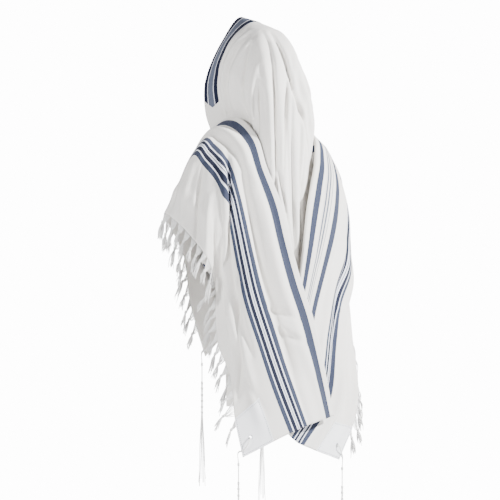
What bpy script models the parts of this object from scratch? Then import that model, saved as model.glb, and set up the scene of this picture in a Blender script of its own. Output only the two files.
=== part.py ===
"""A tallit prayer shawl in the form it takes when worn.

One woven rectangle is worn over the head as a hood. Its two ends are folded back over the
shoulders as drapes. Metres, +Z up, the wearer faces -Y and their left is +X. The origin is
inside the hood at the wearer's crown.
"""

import math
from collections import namedtuple

import bmesh
import bpy
import numpy as np
from mathutils import Vector
from mathutils.bvhtree import BVHTree

COLLECTION = "tallit_prayer_shawl"

# The cloth, with its depth measured along the fringed edge
CLOTH_DEPTH = 1.30
WALL = 0.002
SEAM_GAP = 0.0004

# The two ends, measured in from the fringed edge
BAND_CENTRE = 0.183
STRIPE_CENTRE = 0.301
LEFT_SHOWN = 0.325
RIGHT_SHOWN = 0.403

# How finely the panels are divided
DRAPE_ROWS = 27
DRAPE_STEP = 0.025
BACK_FROM = 0.11
BACK_ROWS = 28
BACK_STEPS_EACH_SIDE = 15
BAND_STEPS = 20

# Soft folds fade towards their two ends
FOLD_FADE = 0.6

# The fold that turns each drape's inner edge under
FOLD_RADIUS = 0.004
FOLD_TURNS = (0.25, 0.5, 0.75, 1.0)
TURNED_UNDER = (0.02, 0.045, 0.07)

# How a lower layer is laid under the one on top
LAYER_GAP = 0.0028
LAP_PAST_FOLD = 0.006
TUCK_ROUNDS = 3
TUCK_REACH = 0.03
TUCK_SLOPE = 0.5
TUCK_SIDEWAYS = 0.002
SEAT_REACH = 0.010
SEAT_BELOW = -0.45
EASE_KEPT = 0.5

# The neckband
ATARAH_LENGTH = 0.58
ATARAH_WIDTH = 0.07
ATARAH_MARGIN = 0.004
ATARAH_WALL = 0.001
ATARAH_ROWS = slice(1, 4)

# The corner patches and their eyelets
PATCH_SIZE = 0.10
PATCH_MIDDLE = 0.07
PATCH_WALL = 0.001
EYELET_IN = 0.036
EYELET_DIAMETER = 0.008
EYELET_SIDES = 12
EYELET_CUT = 0.012
PATCH_POINTS = 4

# The fringe
FRINGE_STRIP = 0.006
STRIP_GAP = 0.0007
FRINGE_TASSELS = 33
FRINGE_CLEAR_OF_CORNER = 0.06
TASSEL_LENGTH = 0.068
TASSEL_RADIUS = 0.0034
TASSEL_SIDES = 3
TASSEL_OUT = 0.75
TASSEL_DOWN = 0.65
TASSEL_STEPS = (0.0, 0.33, 0.12, 0.55)
TASSEL_FORM = (0.55, 0.55, 1.25, 0.95)

# How unevenly the tassels hang, and how quickly that comes and goes from one to the next
SWING_SHARE = 0.06
SWING_PACE = 2.4
JITTER_SHARE = 0.036
JITTER_PACE = 5.1
LEAN_SHARE = 0.14
LEAN_PACE = 1.9
LENGTH_SHARE = 0.12
LENGTH_PACE = 3.7

# The tzitzit
THREAD_RADIUS = 0.0012
LOOP_OVER = 0.0062
LOOP_UNDER = 0.0031
LOOP_PAST_EDGE = 0.006
LOOP_BEND = 0.6
EDGE_SHARE = 0.45
KNOT_PAST_EDGE = 0.008
KNOT_BELOW = 0.030
KNOT_ABOVE = 0.002
KNOT_LENGTH = 0.004
KNOT_RADIUS = 0.0034
THIN_LENGTH = 0.05
THIN_STEPS = 3
THIN_RADIUS = 0.0022
WOUND_LENGTH = 0.08
WOUND_RADIUS = 0.0032
WINDINGS = 5
WINDING_SWELL = (1.15, 0.8)
WINDING_STEP = 0.0008
CORD_SIDES = 6
TZITZIT_STRANDS = 8
LOOSE_LENGTH = 0.20
LOOSE_SHORTER = 0.05
LOOSE_SPLAY = (0.05, 0.07)
STRAND_RADIUS = 0.0007
STRAND_SIDES = 3
STRAND_OUT = 0.72
STRAND_IN = 0.006

DOWN = np.array((0.0, 0.0, -1.0))
# A direction that no thread runs along
ASLANT = (0.31, 0.93, 0.17)

Finish = namedtuple("Finish", "name colour roughness")
WOOL = Finish("woven_wool", (0.78, 0.77, 0.75, 1.0), 0.9)
BAND = Finish("woven_band", (0.16, 0.19, 0.27, 1.0), 0.8)
LINEN = Finish("patch_cloth", (0.82, 0.82, 0.81, 1.0), 0.85)
THREAD = Finish("twisted_thread", (0.84, 0.84, 0.82, 1.0), 0.9)

# Which way a grid's normals have to be turned to point out of the cloth
BACK_OUTWARD = 1
LEFT_OUTWARD = -1
RIGHT_OUTWARD = 1

# The left drape from the front hem over the shoulder to the back hem. Each row is a line
# straight across the cloth: where it meets the fringed edge, the wide band and the fold.
DrapeRow = namedtuple("DrapeRow", "run edge band fold")
LEFT_ROWS = [
    DrapeRow(0.00, (0.085, -0.142, -0.880), (-0.048, -0.170, -0.765), (-0.100, -0.165, -0.655)),
    DrapeRow(0.15, (0.135, -0.140, -0.742), (0.010, -0.172, -0.628), (-0.035, -0.168, -0.520)),
    DrapeRow(0.30, (0.165, -0.135, -0.600), (0.085, -0.166, -0.495), (0.045, -0.155, -0.385)),
    DrapeRow(0.40, (0.222, -0.118, -0.525), (0.182, -0.095, -0.375), (0.100, -0.112, -0.292)),
    DrapeRow(0.46, (0.268, -0.070, -0.496), (0.200, -0.005, -0.318), (0.098, -0.045, -0.250)),
    DrapeRow(0.52, (0.275, 0.000, -0.520), (0.195, 0.030, -0.340), (0.088, 0.010, -0.243)),
    DrapeRow(0.60, (0.270, 0.060, -0.560), (0.182, 0.075, -0.385), (0.078, 0.078, -0.288)),
    DrapeRow(0.70, (0.250, 0.102, -0.615), (0.176, 0.108, -0.455), (0.066, 0.112, -0.375)),
    DrapeRow(0.80, (0.205, 0.075, -0.685), (0.174, 0.135, -0.535), (0.047, 0.150, -0.470)),
    DrapeRow(0.90, (0.195, 0.065, -0.765), (0.168, 0.158, -0.625), (0.033, 0.172, -0.568)),
    DrapeRow(1.00, (0.200, 0.085, -0.850), (0.154, 0.176, -0.720), (0.008, 0.187, -0.675)),
    DrapeRow(1.10, (0.193, 0.130, -0.930), (0.121, 0.190, -0.830), (-0.027, 0.194, -0.775)),
    DrapeRow(1.20, (0.190, 0.145, -1.040), (0.080, 0.200, -0.945), (-0.063, 0.193, -0.900)),
    DrapeRow(1.30, (0.178, 0.165, -1.143), (0.027, 0.207, -1.070), (-0.105, 0.180, -1.036)),
]

# The right drape the same way, with one more point where the narrow stripe runs.
WideRow = namedtuple("WideRow", "run edge band stripe fold")
RIGHT_ROWS = [
    WideRow(0.00, (-0.085, -0.142, -0.925), (0.010, -0.145, -0.785),
            (0.050, -0.145, -0.690), (0.105, -0.134, -0.625)),
    WideRow(0.15, (-0.150, -0.140, -0.792), (-0.090, -0.145, -0.618),
            (-0.045, -0.144, -0.530), (0.010, -0.142, -0.470)),
    WideRow(0.30, (-0.178, -0.138, -0.650), (-0.170, -0.146, -0.480),
            (-0.135, -0.142, -0.400), (-0.075, -0.138, -0.345)),
    WideRow(0.40, (-0.232, -0.135, -0.580), (-0.240, -0.085, -0.430),
            (-0.180, -0.090, -0.345), (-0.106, -0.105, -0.290)),
    WideRow(0.46, (-0.262, -0.115, -0.560), (-0.262, -0.015, -0.405),
            (-0.196, -0.015, -0.318), (-0.124, -0.035, -0.266)),
    WideRow(0.53, (-0.278, -0.085, -0.570), (-0.250, 0.025, -0.440),
            (-0.200, 0.030, -0.335), (-0.150, 0.030, -0.287)),
    WideRow(0.61, (-0.282, -0.050, -0.605), (-0.245, 0.058, -0.500),
            (-0.185, 0.085, -0.400), (-0.125, 0.080, -0.345)),
    WideRow(0.70, (-0.280, -0.020, -0.680), (-0.245, 0.060, -0.575),
            (-0.155, 0.128, -0.470), (-0.085, 0.118, -0.415)),
    WideRow(0.80, (-0.277, 0.008, -0.755), (-0.222, 0.088, -0.640),
            (-0.125, 0.150, -0.550), (-0.050, 0.147, -0.490)),
    WideRow(0.90, (-0.270, 0.035, -0.835), (-0.160, 0.125, -0.720),
            (-0.090, 0.162, -0.640), (-0.028, 0.162, -0.575)),
    WideRow(1.00, (-0.262, 0.060, -0.925), (-0.130, 0.142, -0.820),
            (-0.052, 0.170, -0.745), (-0.004, 0.172, -0.680)),
    WideRow(1.15, (-0.250, 0.085, -1.030), (-0.095, 0.153, -0.985),
            (-0.010, 0.172, -0.920), (0.040, 0.172, -0.880)),
    WideRow(1.30, (-0.170, 0.115, -1.155), (0.010, 0.176, -1.104),
            (0.070, 0.172, -1.060), (0.105, 0.162, -1.040)),
]

# The hood and back, from the face edge down to the back hem. Each row runs from the middle out
# to where the cloth disappears under a drape, first the wearer's left and then their right.
BackRow = namedtuple("BackRow", "run middle temple side neck end")
BACK_LEFT = [
    BackRow(0.00, (0, -0.100, 0.030), (0.058, -0.108, -0.040), (0.088, -0.138, -0.140),
            (0.098, -0.118, -0.256), (0.086, -0.112, -0.335)),
    BackRow(0.09, (0, -0.015, 0.012), (0.072, -0.030, -0.035), (0.100, -0.050, -0.140),
            (0.084, -0.052, -0.258), (0.100, -0.064, -0.330)),
    BackRow(0.18, (0, 0.062, -0.014), (0.072, 0.045, -0.060), (0.096, 0.020, -0.165),
            (0.072, 0.002, -0.264), (0.120, -0.005, -0.335)),
    BackRow(0.26, (0, 0.106, -0.068), (0.070, 0.082, -0.118), (0.086, 0.056, -0.200),
            (0.060, 0.042, -0.292), (0.126, 0.018, -0.365)),
    BackRow(0.36, (0, 0.118, -0.160), (0.058, 0.098, -0.190), (0.064, 0.072, -0.268),
            (0.072, 0.060, -0.338), (0.140, 0.032, -0.408)),
    BackRow(0.48, (0, 0.120, -0.280), (0.050, 0.106, -0.300), (0.076, 0.082, -0.355),
            (0.104, 0.070, -0.400), (0.155, 0.040, -0.460)),
    BackRow(0.65, (0, 0.130, -0.445), (0.052, 0.116, -0.450), (0.092, 0.096, -0.470),
            (0.128, 0.072, -0.495), (0.160, 0.045, -0.540)),
    BackRow(0.88, (0, 0.145, -0.670), (0.058, 0.136, -0.672), (0.102, 0.122, -0.675),
            (0.138, 0.096, -0.680), (0.165, 0.055, -0.700)),
    BackRow(1.22, (0, 0.142, -1.010), (0.062, 0.140, -1.010), (0.105, 0.126, -1.010),
            (0.140, 0.100, -1.010), (0.160, 0.060, -1.010)),
]
BACK_RIGHT = [
    BackRow(0.00, (0, -0.100, 0.030), (-0.058, -0.108, -0.040), (-0.088, -0.138, -0.140),
            (-0.092, -0.098, -0.262), (-0.084, -0.096, -0.335)),
    BackRow(0.09, (0, -0.015, 0.012), (-0.070, -0.030, -0.035), (-0.102, -0.045, -0.140),
            (-0.104, -0.045, -0.264), (-0.124, -0.055, -0.330)),
    BackRow(0.18, (0, 0.062, -0.014), (-0.070, 0.044, -0.062), (-0.108, 0.024, -0.160),
            (-0.122, 0.000, -0.275), (-0.150, -0.006, -0.345)),
    BackRow(0.26, (0, 0.106, -0.068), (-0.070, 0.085, -0.114), (-0.116, 0.054, -0.195),
            (-0.130, 0.022, -0.296), (-0.160, 0.008, -0.365)),
    BackRow(0.36, (0, 0.118, -0.160), (-0.070, 0.101, -0.190), (-0.126, 0.064, -0.252),
            (-0.128, 0.036, -0.340), (-0.170, 0.020, -0.410)),
    BackRow(0.48, (0, 0.120, -0.280), (-0.066, 0.108, -0.300), (-0.106, 0.070, -0.350),
            (-0.130, 0.050, -0.405), (-0.172, 0.026, -0.465)),
    BackRow(0.65, (0, 0.130, -0.445), (-0.055, 0.112, -0.450), (-0.094, 0.086, -0.470),
            (-0.130, 0.062, -0.495), (-0.175, 0.032, -0.540)),
    BackRow(0.88, (0, 0.145, -0.670), (-0.056, 0.130, -0.672), (-0.096, 0.108, -0.675),
            (-0.135, 0.080, -0.680), (-0.175, 0.040, -0.700)),
    BackRow(1.22, (0, 0.142, -1.010), (-0.055, 0.132, -1.010), (-0.095, 0.115, -1.010),
            (-0.130, 0.090, -1.010), (-0.160, 0.055, -1.010)),
]
BACK_ACROSS = (0.0, 0.10, 0.21, 0.34, 0.44)

# Soft folds: a line across the cloth at each end of the fold's run, how wide and how proud.
Fold = namedtuple("Fold", "from_run from_across to_run to_across width rise")
BACK_FOLDS = [
    Fold(0.10, 0.045, 0.95, 0.020, 0.016, 0.0050),
    Fold(0.14, -0.030, 0.80, -0.030, 0.018, 0.0045),
    Fold(0.16, 0.010, 0.80, -0.004, 0.013, -0.0040),
    Fold(0.20, -0.090, 0.62, -0.075, 0.016, 0.0050),
    Fold(0.24, 0.110, 0.50, 0.070, 0.015, 0.0045),
    Fold(0.18, -0.150, 0.50, -0.120, 0.016, -0.0040),
    Fold(0.04, 0.170, 0.30, 0.190, 0.020, 0.0040),
]
LEFT_FOLDS = [
    Fold(0.56, 0.222, 0.84, 0.095, 0.012, -0.0080),
    Fold(0.50, 0.260, 0.95, 0.250, 0.018, 0.0050),
    Fold(0.90, 0.090, 1.28, 0.080, 0.018, 0.0080),
    Fold(1.05, 0.232, 1.34, 0.228, 0.010, -0.0070),
    Fold(0.40, 0.060, 0.70, 0.070, 0.020, 0.0060),
    Fold(-0.05, 0.130, 0.36, 0.120, 0.020, 0.0100),
    Fold(-0.05, 0.190, 0.36, 0.180, 0.020, -0.0070),
    Fold(-0.05, 0.255, 0.36, 0.240, 0.020, 0.0090),
]
RIGHT_FOLDS = [
    Fold(0.50, 0.270, 0.90, 0.240, 0.018, -0.0060),
    Fold(0.60, 0.120, 1.30, 0.110, 0.022, 0.0090),
    Fold(0.85, 0.230, 1.34, 0.235, 0.018, 0.0060),
    Fold(0.42, 0.060, 0.90, 0.055, 0.020, -0.0060),
    Fold(-0.05, 0.135, 0.36, 0.130, 0.022, 0.0060),
    Fold(-0.05, 0.200, 0.36, 0.190, 0.022, -0.0060),
    Fold(-0.05, 0.270, 0.36, 0.260, 0.022, 0.0060),
    Fold(-0.05, 0.340, 0.36, 0.330, 0.022, -0.0050),
]


def spline(knots, values, wanted):
    """A smooth curve through values at knots, read at each wanted place."""
    knots = np.asarray(knots, float)
    values = np.asarray(values, float)
    wanted = np.asarray(wanted, float)
    slopes = np.empty_like(values)
    step = np.diff(knots)
    rise = np.diff(values, axis=0) / step.reshape(-1, *[1] * (values.ndim - 1))
    slopes[0] = rise[0]
    slopes[-1] = rise[-1]
    for k in range(1, len(knots) - 1):
        share = step[k] / (step[k - 1] + step[k])
        slopes[k] = rise[k - 1] * share + rise[k] * (1 - share)
    place = np.clip(np.searchsorted(knots, wanted, side="right") - 1, 0, len(step) - 1)
    width = step[place]
    part = (wanted - knots[place]) / width
    shape = (-1,) + (1,) * (values.ndim - 1)
    width = width.reshape(shape)
    part = part.reshape(shape)
    start = values[place]
    end = values[place + 1]
    out = slopes[place] * width
    into = slopes[place + 1] * width
    return (start * (1 + 2 * part) * (1 - part) ** 2 + out * part * (1 - part) ** 2
            + end * part ** 2 * (3 - 2 * part) + into * part ** 2 * (part - 1))


def loft(runs, acrosses, points, run_nodes, across_nodes):
    """A grid of points through the rows of a table, as an array of run by across by xyz."""
    along = spline(runs, points, run_nodes)
    return np.swapaxes(spline(acrosses, np.swapaxes(along, 0, 1), across_nodes), 0, 1)


def grid_normals(grid):
    """The unit normal at each point of a grid."""
    normal = np.cross(np.gradient(grid, axis=1), np.gradient(grid, axis=0))
    return normal / np.linalg.norm(normal, axis=2, keepdims=True)


def unit(vector):
    """The same direction with a length of one, for each row of an array."""
    return vector / np.linalg.norm(vector, axis=-1, keepdims=True)


def raise_folds(grid, folds, run_nodes, across_nodes, outward):
    """Move a grid's points out or in along each soft fold of a table."""
    normal = grid_normals(grid) * outward
    run = np.asarray(run_nodes)[:, None]
    across = np.asarray(across_nodes)[None, :]
    lift = np.zeros(grid.shape[:2])
    for fold in folds:
        part = (run - fold.from_run) / (fold.to_run - fold.from_run)
        centre = fold.from_across + part * (fold.to_across - fold.from_across)
        fade = np.sin(math.pi * np.clip(part, 0, 1)) ** FOLD_FADE
        lift += fold.rise * fade * np.exp(-((across - centre) / fold.width) ** 2)
    return grid + normal * lift[:, :, None]


def turn_under(grid, across_nodes, outward):
    """Add the rounded fold and the stretch turned under to a drape's inner edge."""
    normal = grid_normals(grid) * outward
    edge = grid[:, -1]
    out = normal[:, -1]
    along = unit(grid[:, -1] - grid[:, -2])
    columns = [grid]
    for turn in FOLD_TURNS:
        bend = out * (math.cos(math.pi * turn) - 1) + along * math.sin(math.pi * turn)
        columns.append((edge + bend * FOLD_RADIUS)[:, None])
    for back in TURNED_UNDER:
        place = across_nodes[-1] - back
        under = np.stack([spline(across_nodes, row, [place])[0] for row in grid])
        lean = np.stack([spline(across_nodes, row, [place])[0] for row in normal])
        columns.append((under - unit(lean) * 2 * FOLD_RADIUS)[:, None])
    return np.concatenate(columns, axis=1)


def ease(shift):
    """Spread a grid of shifts softly over their neighbours."""
    padded = np.pad(shift, ((1, 1), (1, 1), (0, 0)), mode="edge")
    beside = padded[1:-1, :-2] + padded[1:-1, 2:] + padded[:-2, 1:-1] + padded[2:, 1:-1]
    return shift * EASE_KEPT + beside * (1 - EASE_KEPT) / 4


def tuck_softly(panel, cover, outward, depth):
    """Press a panel under a cover in a few rounds, so that it stays smooth."""
    settled = panel
    for _ in range(TUCK_ROUNDS):
        pressed = tuck_below(settled, cover, outward, depth)
        settled = panel + ease(ease(pressed - panel))
    return tuck_below(settled, cover, outward, depth, SEAT_REACH)


def tuck_below(panel, cover, outward, depth, seat=0.0):
    """Press a panel's points down to the given depth under a cover.

    Points that lie no more than seat lower than that are brought up to it.
    """
    normal = grid_normals(cover) * outward
    lap = unit(cover[:, -1] - cover[:, -2]) * LAP_PAST_FOLD
    inner = cover - normal * depth
    inner = np.concatenate([inner, (inner[:, -1] + lap)[:, None]], axis=1)
    points, faces = grid_faces(inner, outward)
    tree = BVHTree.FromPolygons(points, faces)
    settled = panel.copy()
    for row in range(panel.shape[0]):
        for column in range(panel.shape[1]):
            place = Vector(settled[row, column])
            near, lean, _, away = tree.find_nearest(place, TUCK_REACH)
            if near is None:
                continue
            height = (place - near).dot(lean)
            sideways = (place - near - lean * height).length
            lift = seat if place.z < SEAT_BELOW else 0.0
            if height > -lift and sideways < max(height, 0) * TUCK_SLOPE + TUCK_SIDEWAYS:
                settled[row, column] = place - lean * height
    return settled


def grid_faces(grid, outward):
    """A grid's points and its triangles, all cut along the same diagonal."""
    rows, columns = grid.shape[:2]
    points = [tuple(point) for point in grid.reshape(-1, 3)]
    faces = []
    for row in range(rows - 1):
        for column in range(columns - 1):
            a = row * columns + column
            b = a + 1
            c = a + columns + 1
            d = a + columns
            for face in ((a, b, c), (a, c, d)):
                faces.append(face if outward > 0 else face[::-1])
    return points, faces


def finish_material(finish):
    """The plain material of one finish, made once."""
    material = bpy.data.materials.get(finish.name)
    if material is None:
        material = bpy.data.materials.new(finish.name)
        material.use_nodes = True
        shader = material.node_tree.nodes["Principled BSDF"]
        shader.inputs["Base Color"].default_value = finish.colour
        shader.inputs["Roughness"].default_value = finish.roughness
    return material


def add_object(name, mesh, finish, collection):
    """Put a mesh in the scene as one smooth named object."""
    thing = bpy.data.objects.new(name, mesh)
    collection.objects.link(thing)
    mesh.materials.append(finish_material(finish))
    mesh.shade_smooth()
    return thing


def add_cloth(name, grid, outward, wall, finish, collection):
    """A wall of cloth on a grid of points."""
    mesh = bpy.data.meshes.new(name)
    points, faces = grid_faces(grid, outward)
    mesh.from_pydata(points, [], faces)
    cloth = add_object(name, mesh, finish, collection)
    shell = cloth.modifiers.new("wall", "SOLIDIFY")
    shell.thickness = wall
    shell.offset = 0
    return cloth


def add_tool(name, mesh, collection):
    """A tool for a Boolean, which is drawn as wire and never rendered."""
    tool = bpy.data.objects.new(name, mesh)
    collection.objects.link(tool)
    tool.hide_render = True
    tool.display_type = "WIRE"
    return tool


def join_with(target, tool, operation):
    """Add or cut one object with another, kept as a live modifier."""
    step = target.modifiers.new(tool.name, "BOOLEAN")
    step.operation = operation
    step.solver = "EXACT"
    step.object = tool


def sides_mesh(name, strands):
    """One mesh of separate tapered strands, each a list of rings of points."""
    mesh = bpy.data.meshes.new(name)
    shapes = bmesh.new()
    for rings in strands:
        loops = [[shapes.verts.new(point) for point in ring] for ring in rings]
        count = len(loops[0])
        for lower, upper in zip(loops, loops[1:]):
            for k in range(count):
                after = (k + 1) % count
                shapes.faces.new((lower[k], lower[after], upper[after], upper[k]))
        shapes.faces.new(loops[0][::-1])
        shapes.faces.new(loops[-1])
    bmesh.ops.recalc_face_normals(shapes, faces=shapes.faces)
    shapes.to_mesh(mesh)
    shapes.free()
    return mesh


def strand_rings(start, route, radii, sides):
    """Rings of points round a strand that follows a route of steps from its start."""
    rings = []
    centre = np.array(start, float)
    for step, radius in zip(route, radii):
        centre = centre + step
        heading = unit(np.array(route[-1], float))
        across = unit(np.cross(heading, ASLANT))
        over = np.cross(heading, across)
        ring = []
        for k in range(sides):
            turn = 2 * math.pi * k / sides
            ring.append(tuple(centre + radius * (across * math.cos(turn) + over * math.sin(turn))))
        rings.append(ring)
    return rings


def drape_nodes(shown, wide_step):
    """The places along and across a drape where its points lie."""
    corner = [0.0, EYELET_IN, PATCH_MIDDLE]
    between = np.linspace(PATCH_SIZE, CLOTH_DEPTH - PATCH_SIZE, DRAPE_ROWS)
    runs = corner + list(between) + [CLOTH_DEPTH - run for run in corner[::-1]]
    steps = round((shown - PATCH_SIZE) / wide_step)
    acrosses = corner + list(np.linspace(PATCH_SIZE, shown, steps + 1))
    return runs, acrosses


def drape_grid(rows, knots, folds, shown, outward):
    """One drape's points, from its fringed edge to its fold."""
    runs, acrosses = drape_nodes(shown, DRAPE_STEP)
    points = [[getattr(row, name) for name in row._fields[1:]] for row in rows]
    grid = loft([row.run for row in rows], knots, points, runs, acrosses)
    grid = raise_folds(grid, folds, runs, acrosses, outward)
    return grid, runs, acrosses


def back_grid():
    """The hood and back panel's points."""
    step = ATARAH_LENGTH / BAND_STEPS
    acrosses = [step * k for k in range(-BACK_STEPS_EACH_SIDE, BACK_STEPS_EACH_SIDE + 1)]
    band = [0.0, ATARAH_MARGIN, ATARAH_MARGIN + ATARAH_WIDTH / 2, ATARAH_MARGIN + ATARAH_WIDTH]
    runs = band + list(np.linspace(BACK_FROM, BACK_LEFT[-1].run, BACK_ROWS))
    knots = [-a for a in BACK_ACROSS[:0:-1]] + list(BACK_ACROSS)
    points = []
    for left, right in zip(BACK_LEFT, BACK_RIGHT):
        points.append([right.end, right.neck, right.side, right.temple,
                       left.middle, left.temple, left.side, left.neck, left.end])
    grid = loft([row.run for row in BACK_LEFT], knots, points, runs, acrosses)
    return raise_folds(grid, BACK_FOLDS, runs, acrosses, BACK_OUTWARD), runs, acrosses


def patch_grid(grid, outward, rows):
    """A corner patch's points: the drape's own corner, moved out."""
    lean = grid_normals(grid) * outward
    lift = WALL / 2 + SEAM_GAP + PATCH_WALL / 2
    return grid[rows, :PATCH_POINTS] + lean[rows, :PATCH_POINTS] * lift


def atarah_grid(back, acrosses):
    """The neckband's points: a strip of the hood's face edge, moved out."""
    lean = grid_normals(back) * BACK_OUTWARD
    half = ATARAH_LENGTH / 2 + SEAM_GAP
    columns = [k for k, across in enumerate(acrosses) if abs(across) < half]
    first, last = columns[0], columns[-1] + 1
    lift = WALL / 2 + SEAM_GAP + ATARAH_WALL / 2
    return back[ATARAH_ROWS, first:last] + lean[ATARAH_ROWS, first:last] * lift


def add_eyelet(name, place, lean, walls, tools):
    """Cut one eyelet straight through the walls given."""
    mesh = bpy.data.meshes.new(name)
    shape = bmesh.new()
    bmesh.ops.create_cone(shape, cap_ends=True, segments=EYELET_SIDES, depth=EYELET_CUT,
                          radius1=EYELET_DIAMETER / 2, radius2=EYELET_DIAMETER / 2)
    shape.to_mesh(mesh)
    shape.free()
    drill = add_tool(name, mesh, tools)
    drill.location = place
    drill.rotation_euler = Vector(lean).to_track_quat("Z", "Y").to_euler()
    for wall in walls:
        join_with(wall, drill, "DIFFERENCE")


def past_edge(grid):
    """The way out of a drape at its fringed edge, square to that edge."""
    out = grid[:, 0] - grid[:, 1]
    edge = unit(np.gradient(grid[:, 0], axis=0))
    return unit(out - edge * np.sum(out * edge, axis=1, keepdims=True))


def fringe_strip(grid):
    """The narrow strip that runs just past a drape's cut edge."""
    out = past_edge(grid)
    near = grid[:, 0] + out * STRIP_GAP
    far = near + out * FRINGE_STRIP
    return np.stack([far, near], axis=1)


def straight_along(runs, points, run):
    """A point part way along a line of straight steps."""
    return np.array([np.interp(run, runs, points[:, axis]) for axis in range(3)])


def fringe_tassels(strip, runs, out):
    """Where each tassel of one edge is rooted, and the way it hangs."""
    step = (runs[-1] - runs[0]) / FRINGE_TASSELS
    strands = []
    for k in range(FRINGE_TASSELS):
        run = runs[0] + step * (k + 0.5)
        root = straight_along(runs, strip.mean(axis=1), run)
        away = straight_along(runs, out, run)
        swing = SWING_SHARE * math.sin(SWING_PACE * k) + JITTER_SHARE * math.sin(JITTER_PACE * k)
        lean = LEAN_SHARE * math.sin(LEAN_PACE * k)
        edge = unit(straight_along(runs, strip.mean(axis=1), run + step / 4) - root)
        hang = unit(away * (TASSEL_OUT + lean) + DOWN * (TASSEL_DOWN - lean) + edge * swing)
        length = TASSEL_LENGTH * (1 + LENGTH_SHARE * math.sin(LENGTH_PACE * k))
        route = [hang * length * share for share in TASSEL_STEPS]
        radii = [TASSEL_RADIUS * part for part in TASSEL_FORM]
        strands.append(strand_rings(root, route, radii, TASSEL_SIDES))
    return strands


def add_fringe(name, grid, runs, parts, tools):
    """One fringed edge: its narrow strip with the tassels rooted in it."""
    inside = [k for k, run in enumerate(runs)
              if FRINGE_CLEAR_OF_CORNER < run < CLOTH_DEPTH - FRINGE_CLEAR_OF_CORNER]
    rows = slice(inside[0], inside[-1] + 1)
    strip = fringe_strip(grid)[rows]
    out = past_edge(grid)[rows]
    fringe = add_cloth(name, strip, 1, WALL, THREAD, parts)
    strands = fringe_tassels(strip, [runs[k] for k in inside], out)
    tassels = add_tool(name + "_tassels", sides_mesh(name + "_tassels", strands), tools)
    join_with(fringe, tassels, "UNION")


def thread_loop(eyelet, lean, edge_place, out, knot):
    """The path of the doubled thread through the eyelet and round the cloth's edge."""
    over = lean * LOOP_OVER
    under = lean * LOOP_UNDER
    clear = out * LOOP_PAST_EDGE
    return [knot, edge_place + clear + over * LOOP_BEND, edge_place + over, eyelet + over,
            eyelet - under, edge_place - under, edge_place + clear - under * LOOP_BEND]


def thread_mesh(name, path, tools):
    """A round thread closed into a loop along a path."""
    curve = bpy.data.curves.new(name, "CURVE")
    curve.dimensions = "3D"
    curve.bevel_depth = THREAD_RADIUS
    curve.bevel_resolution = 1
    line = curve.splines.new("POLY")
    line.points.add(len(path) - 1)
    for point, place in zip(line.points, path):
        point.co = (*place, 1)
    line.use_cyclic_u = True
    thread = bpy.data.objects.new(name, curve)
    tools.objects.link(thread)
    shown = thread.evaluated_get(bpy.context.evaluated_depsgraph_get())
    mesh = bpy.data.meshes.new_from_object(shown)
    bpy.data.objects.remove(thread)
    mesh.name = name
    return mesh


def cord_rings(knot):
    """The knotted and wound cord below the loop, as rings of points."""
    steps = [WINDING_STEP, KNOT_LENGTH]
    radii = [THIN_RADIUS, KNOT_RADIUS]
    steps += [THIN_LENGTH / THIN_STEPS] * THIN_STEPS
    radii += [THIN_RADIUS] * THIN_STEPS
    for k in range(WINDINGS):
        steps += [WINDING_STEP, WOUND_LENGTH / WINDINGS]
        radii += [WOUND_RADIUS, WOUND_RADIUS * WINDING_SWELL[k % 2]]
    return strand_rings(knot - DOWN * KNOT_ABOVE, [DOWN * step for step in steps], radii,
                        CORD_SIDES)


def loose_strands(foot):
    """The strands that hang loose below the wound cord."""
    strands = []
    for k in range(TZITZIT_STRANDS):
        turn = 2 * math.pi * (k + 0.5) / TZITZIT_STRANDS
        side = np.array((math.cos(turn), math.sin(turn), 0))
        root = foot + side * WOUND_RADIUS * STRAND_OUT - DOWN * STRAND_IN
        half = LOOSE_LENGTH * (1 - LOOSE_SHORTER * (k % 3)) / 2
        way = unit(DOWN + side * LOOSE_SPLAY[k % 2])
        strands.append(strand_rings(root, [way * 0, way * half, way * half],
                                    [STRAND_RADIUS] * 3, STRAND_SIDES))
    return strands


def add_tzitzit(name, eyelet, lean, edge_place, out, parts, tools):
    """One knotted tassel: a loop through the eyelet, a wound cord and eight loose strands."""
    knot = edge_place + out * KNOT_PAST_EDGE + DOWN * KNOT_BELOW
    path = thread_loop(eyelet, lean, edge_place, out, knot)
    loop = add_tool(name + "_loop", thread_mesh(name + "_loop", path, tools), tools)
    rings = cord_rings(knot)
    cord = add_object(name, sides_mesh(name, [rings]), THREAD, parts)
    foot = np.mean(np.array(rings[-1]), axis=0)
    loose = add_tool(name + "_strands", sides_mesh(name + "_strands", loose_strands(foot)), tools)
    join_with(cord, loop, "UNION")
    join_with(cord, loose, "UNION")


def add_corner(side, end, grid, outward, drape, parts, tools):
    """One corner: its patch, its eyelet and the tzitzit tied through it."""
    rows = slice(0, PATCH_POINTS) if end == "front" else slice(-PATCH_POINTS, None)
    name = side + "_" + end
    patch = add_cloth("patch_" + name, patch_grid(grid, outward, rows), outward, PATCH_WALL,
                      LINEN, parts)
    lean = grid_normals(grid) * outward
    row = 1 if end == "front" else -2
    eyelet = grid[row, 1]
    add_eyelet("eyelet_" + name, eyelet, lean[row, 1], (drape, patch), tools)
    hem_row = 0 if end == "front" else -1
    edge_place = grid[row, 0] * EDGE_SHARE + grid[hem_row, 0] * (1 - EDGE_SHARE)
    out = past_edge(grid)[row]
    add_tzitzit("tzitzit_" + name, eyelet, lean[row, 1], edge_place, out, parts, tools)


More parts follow.
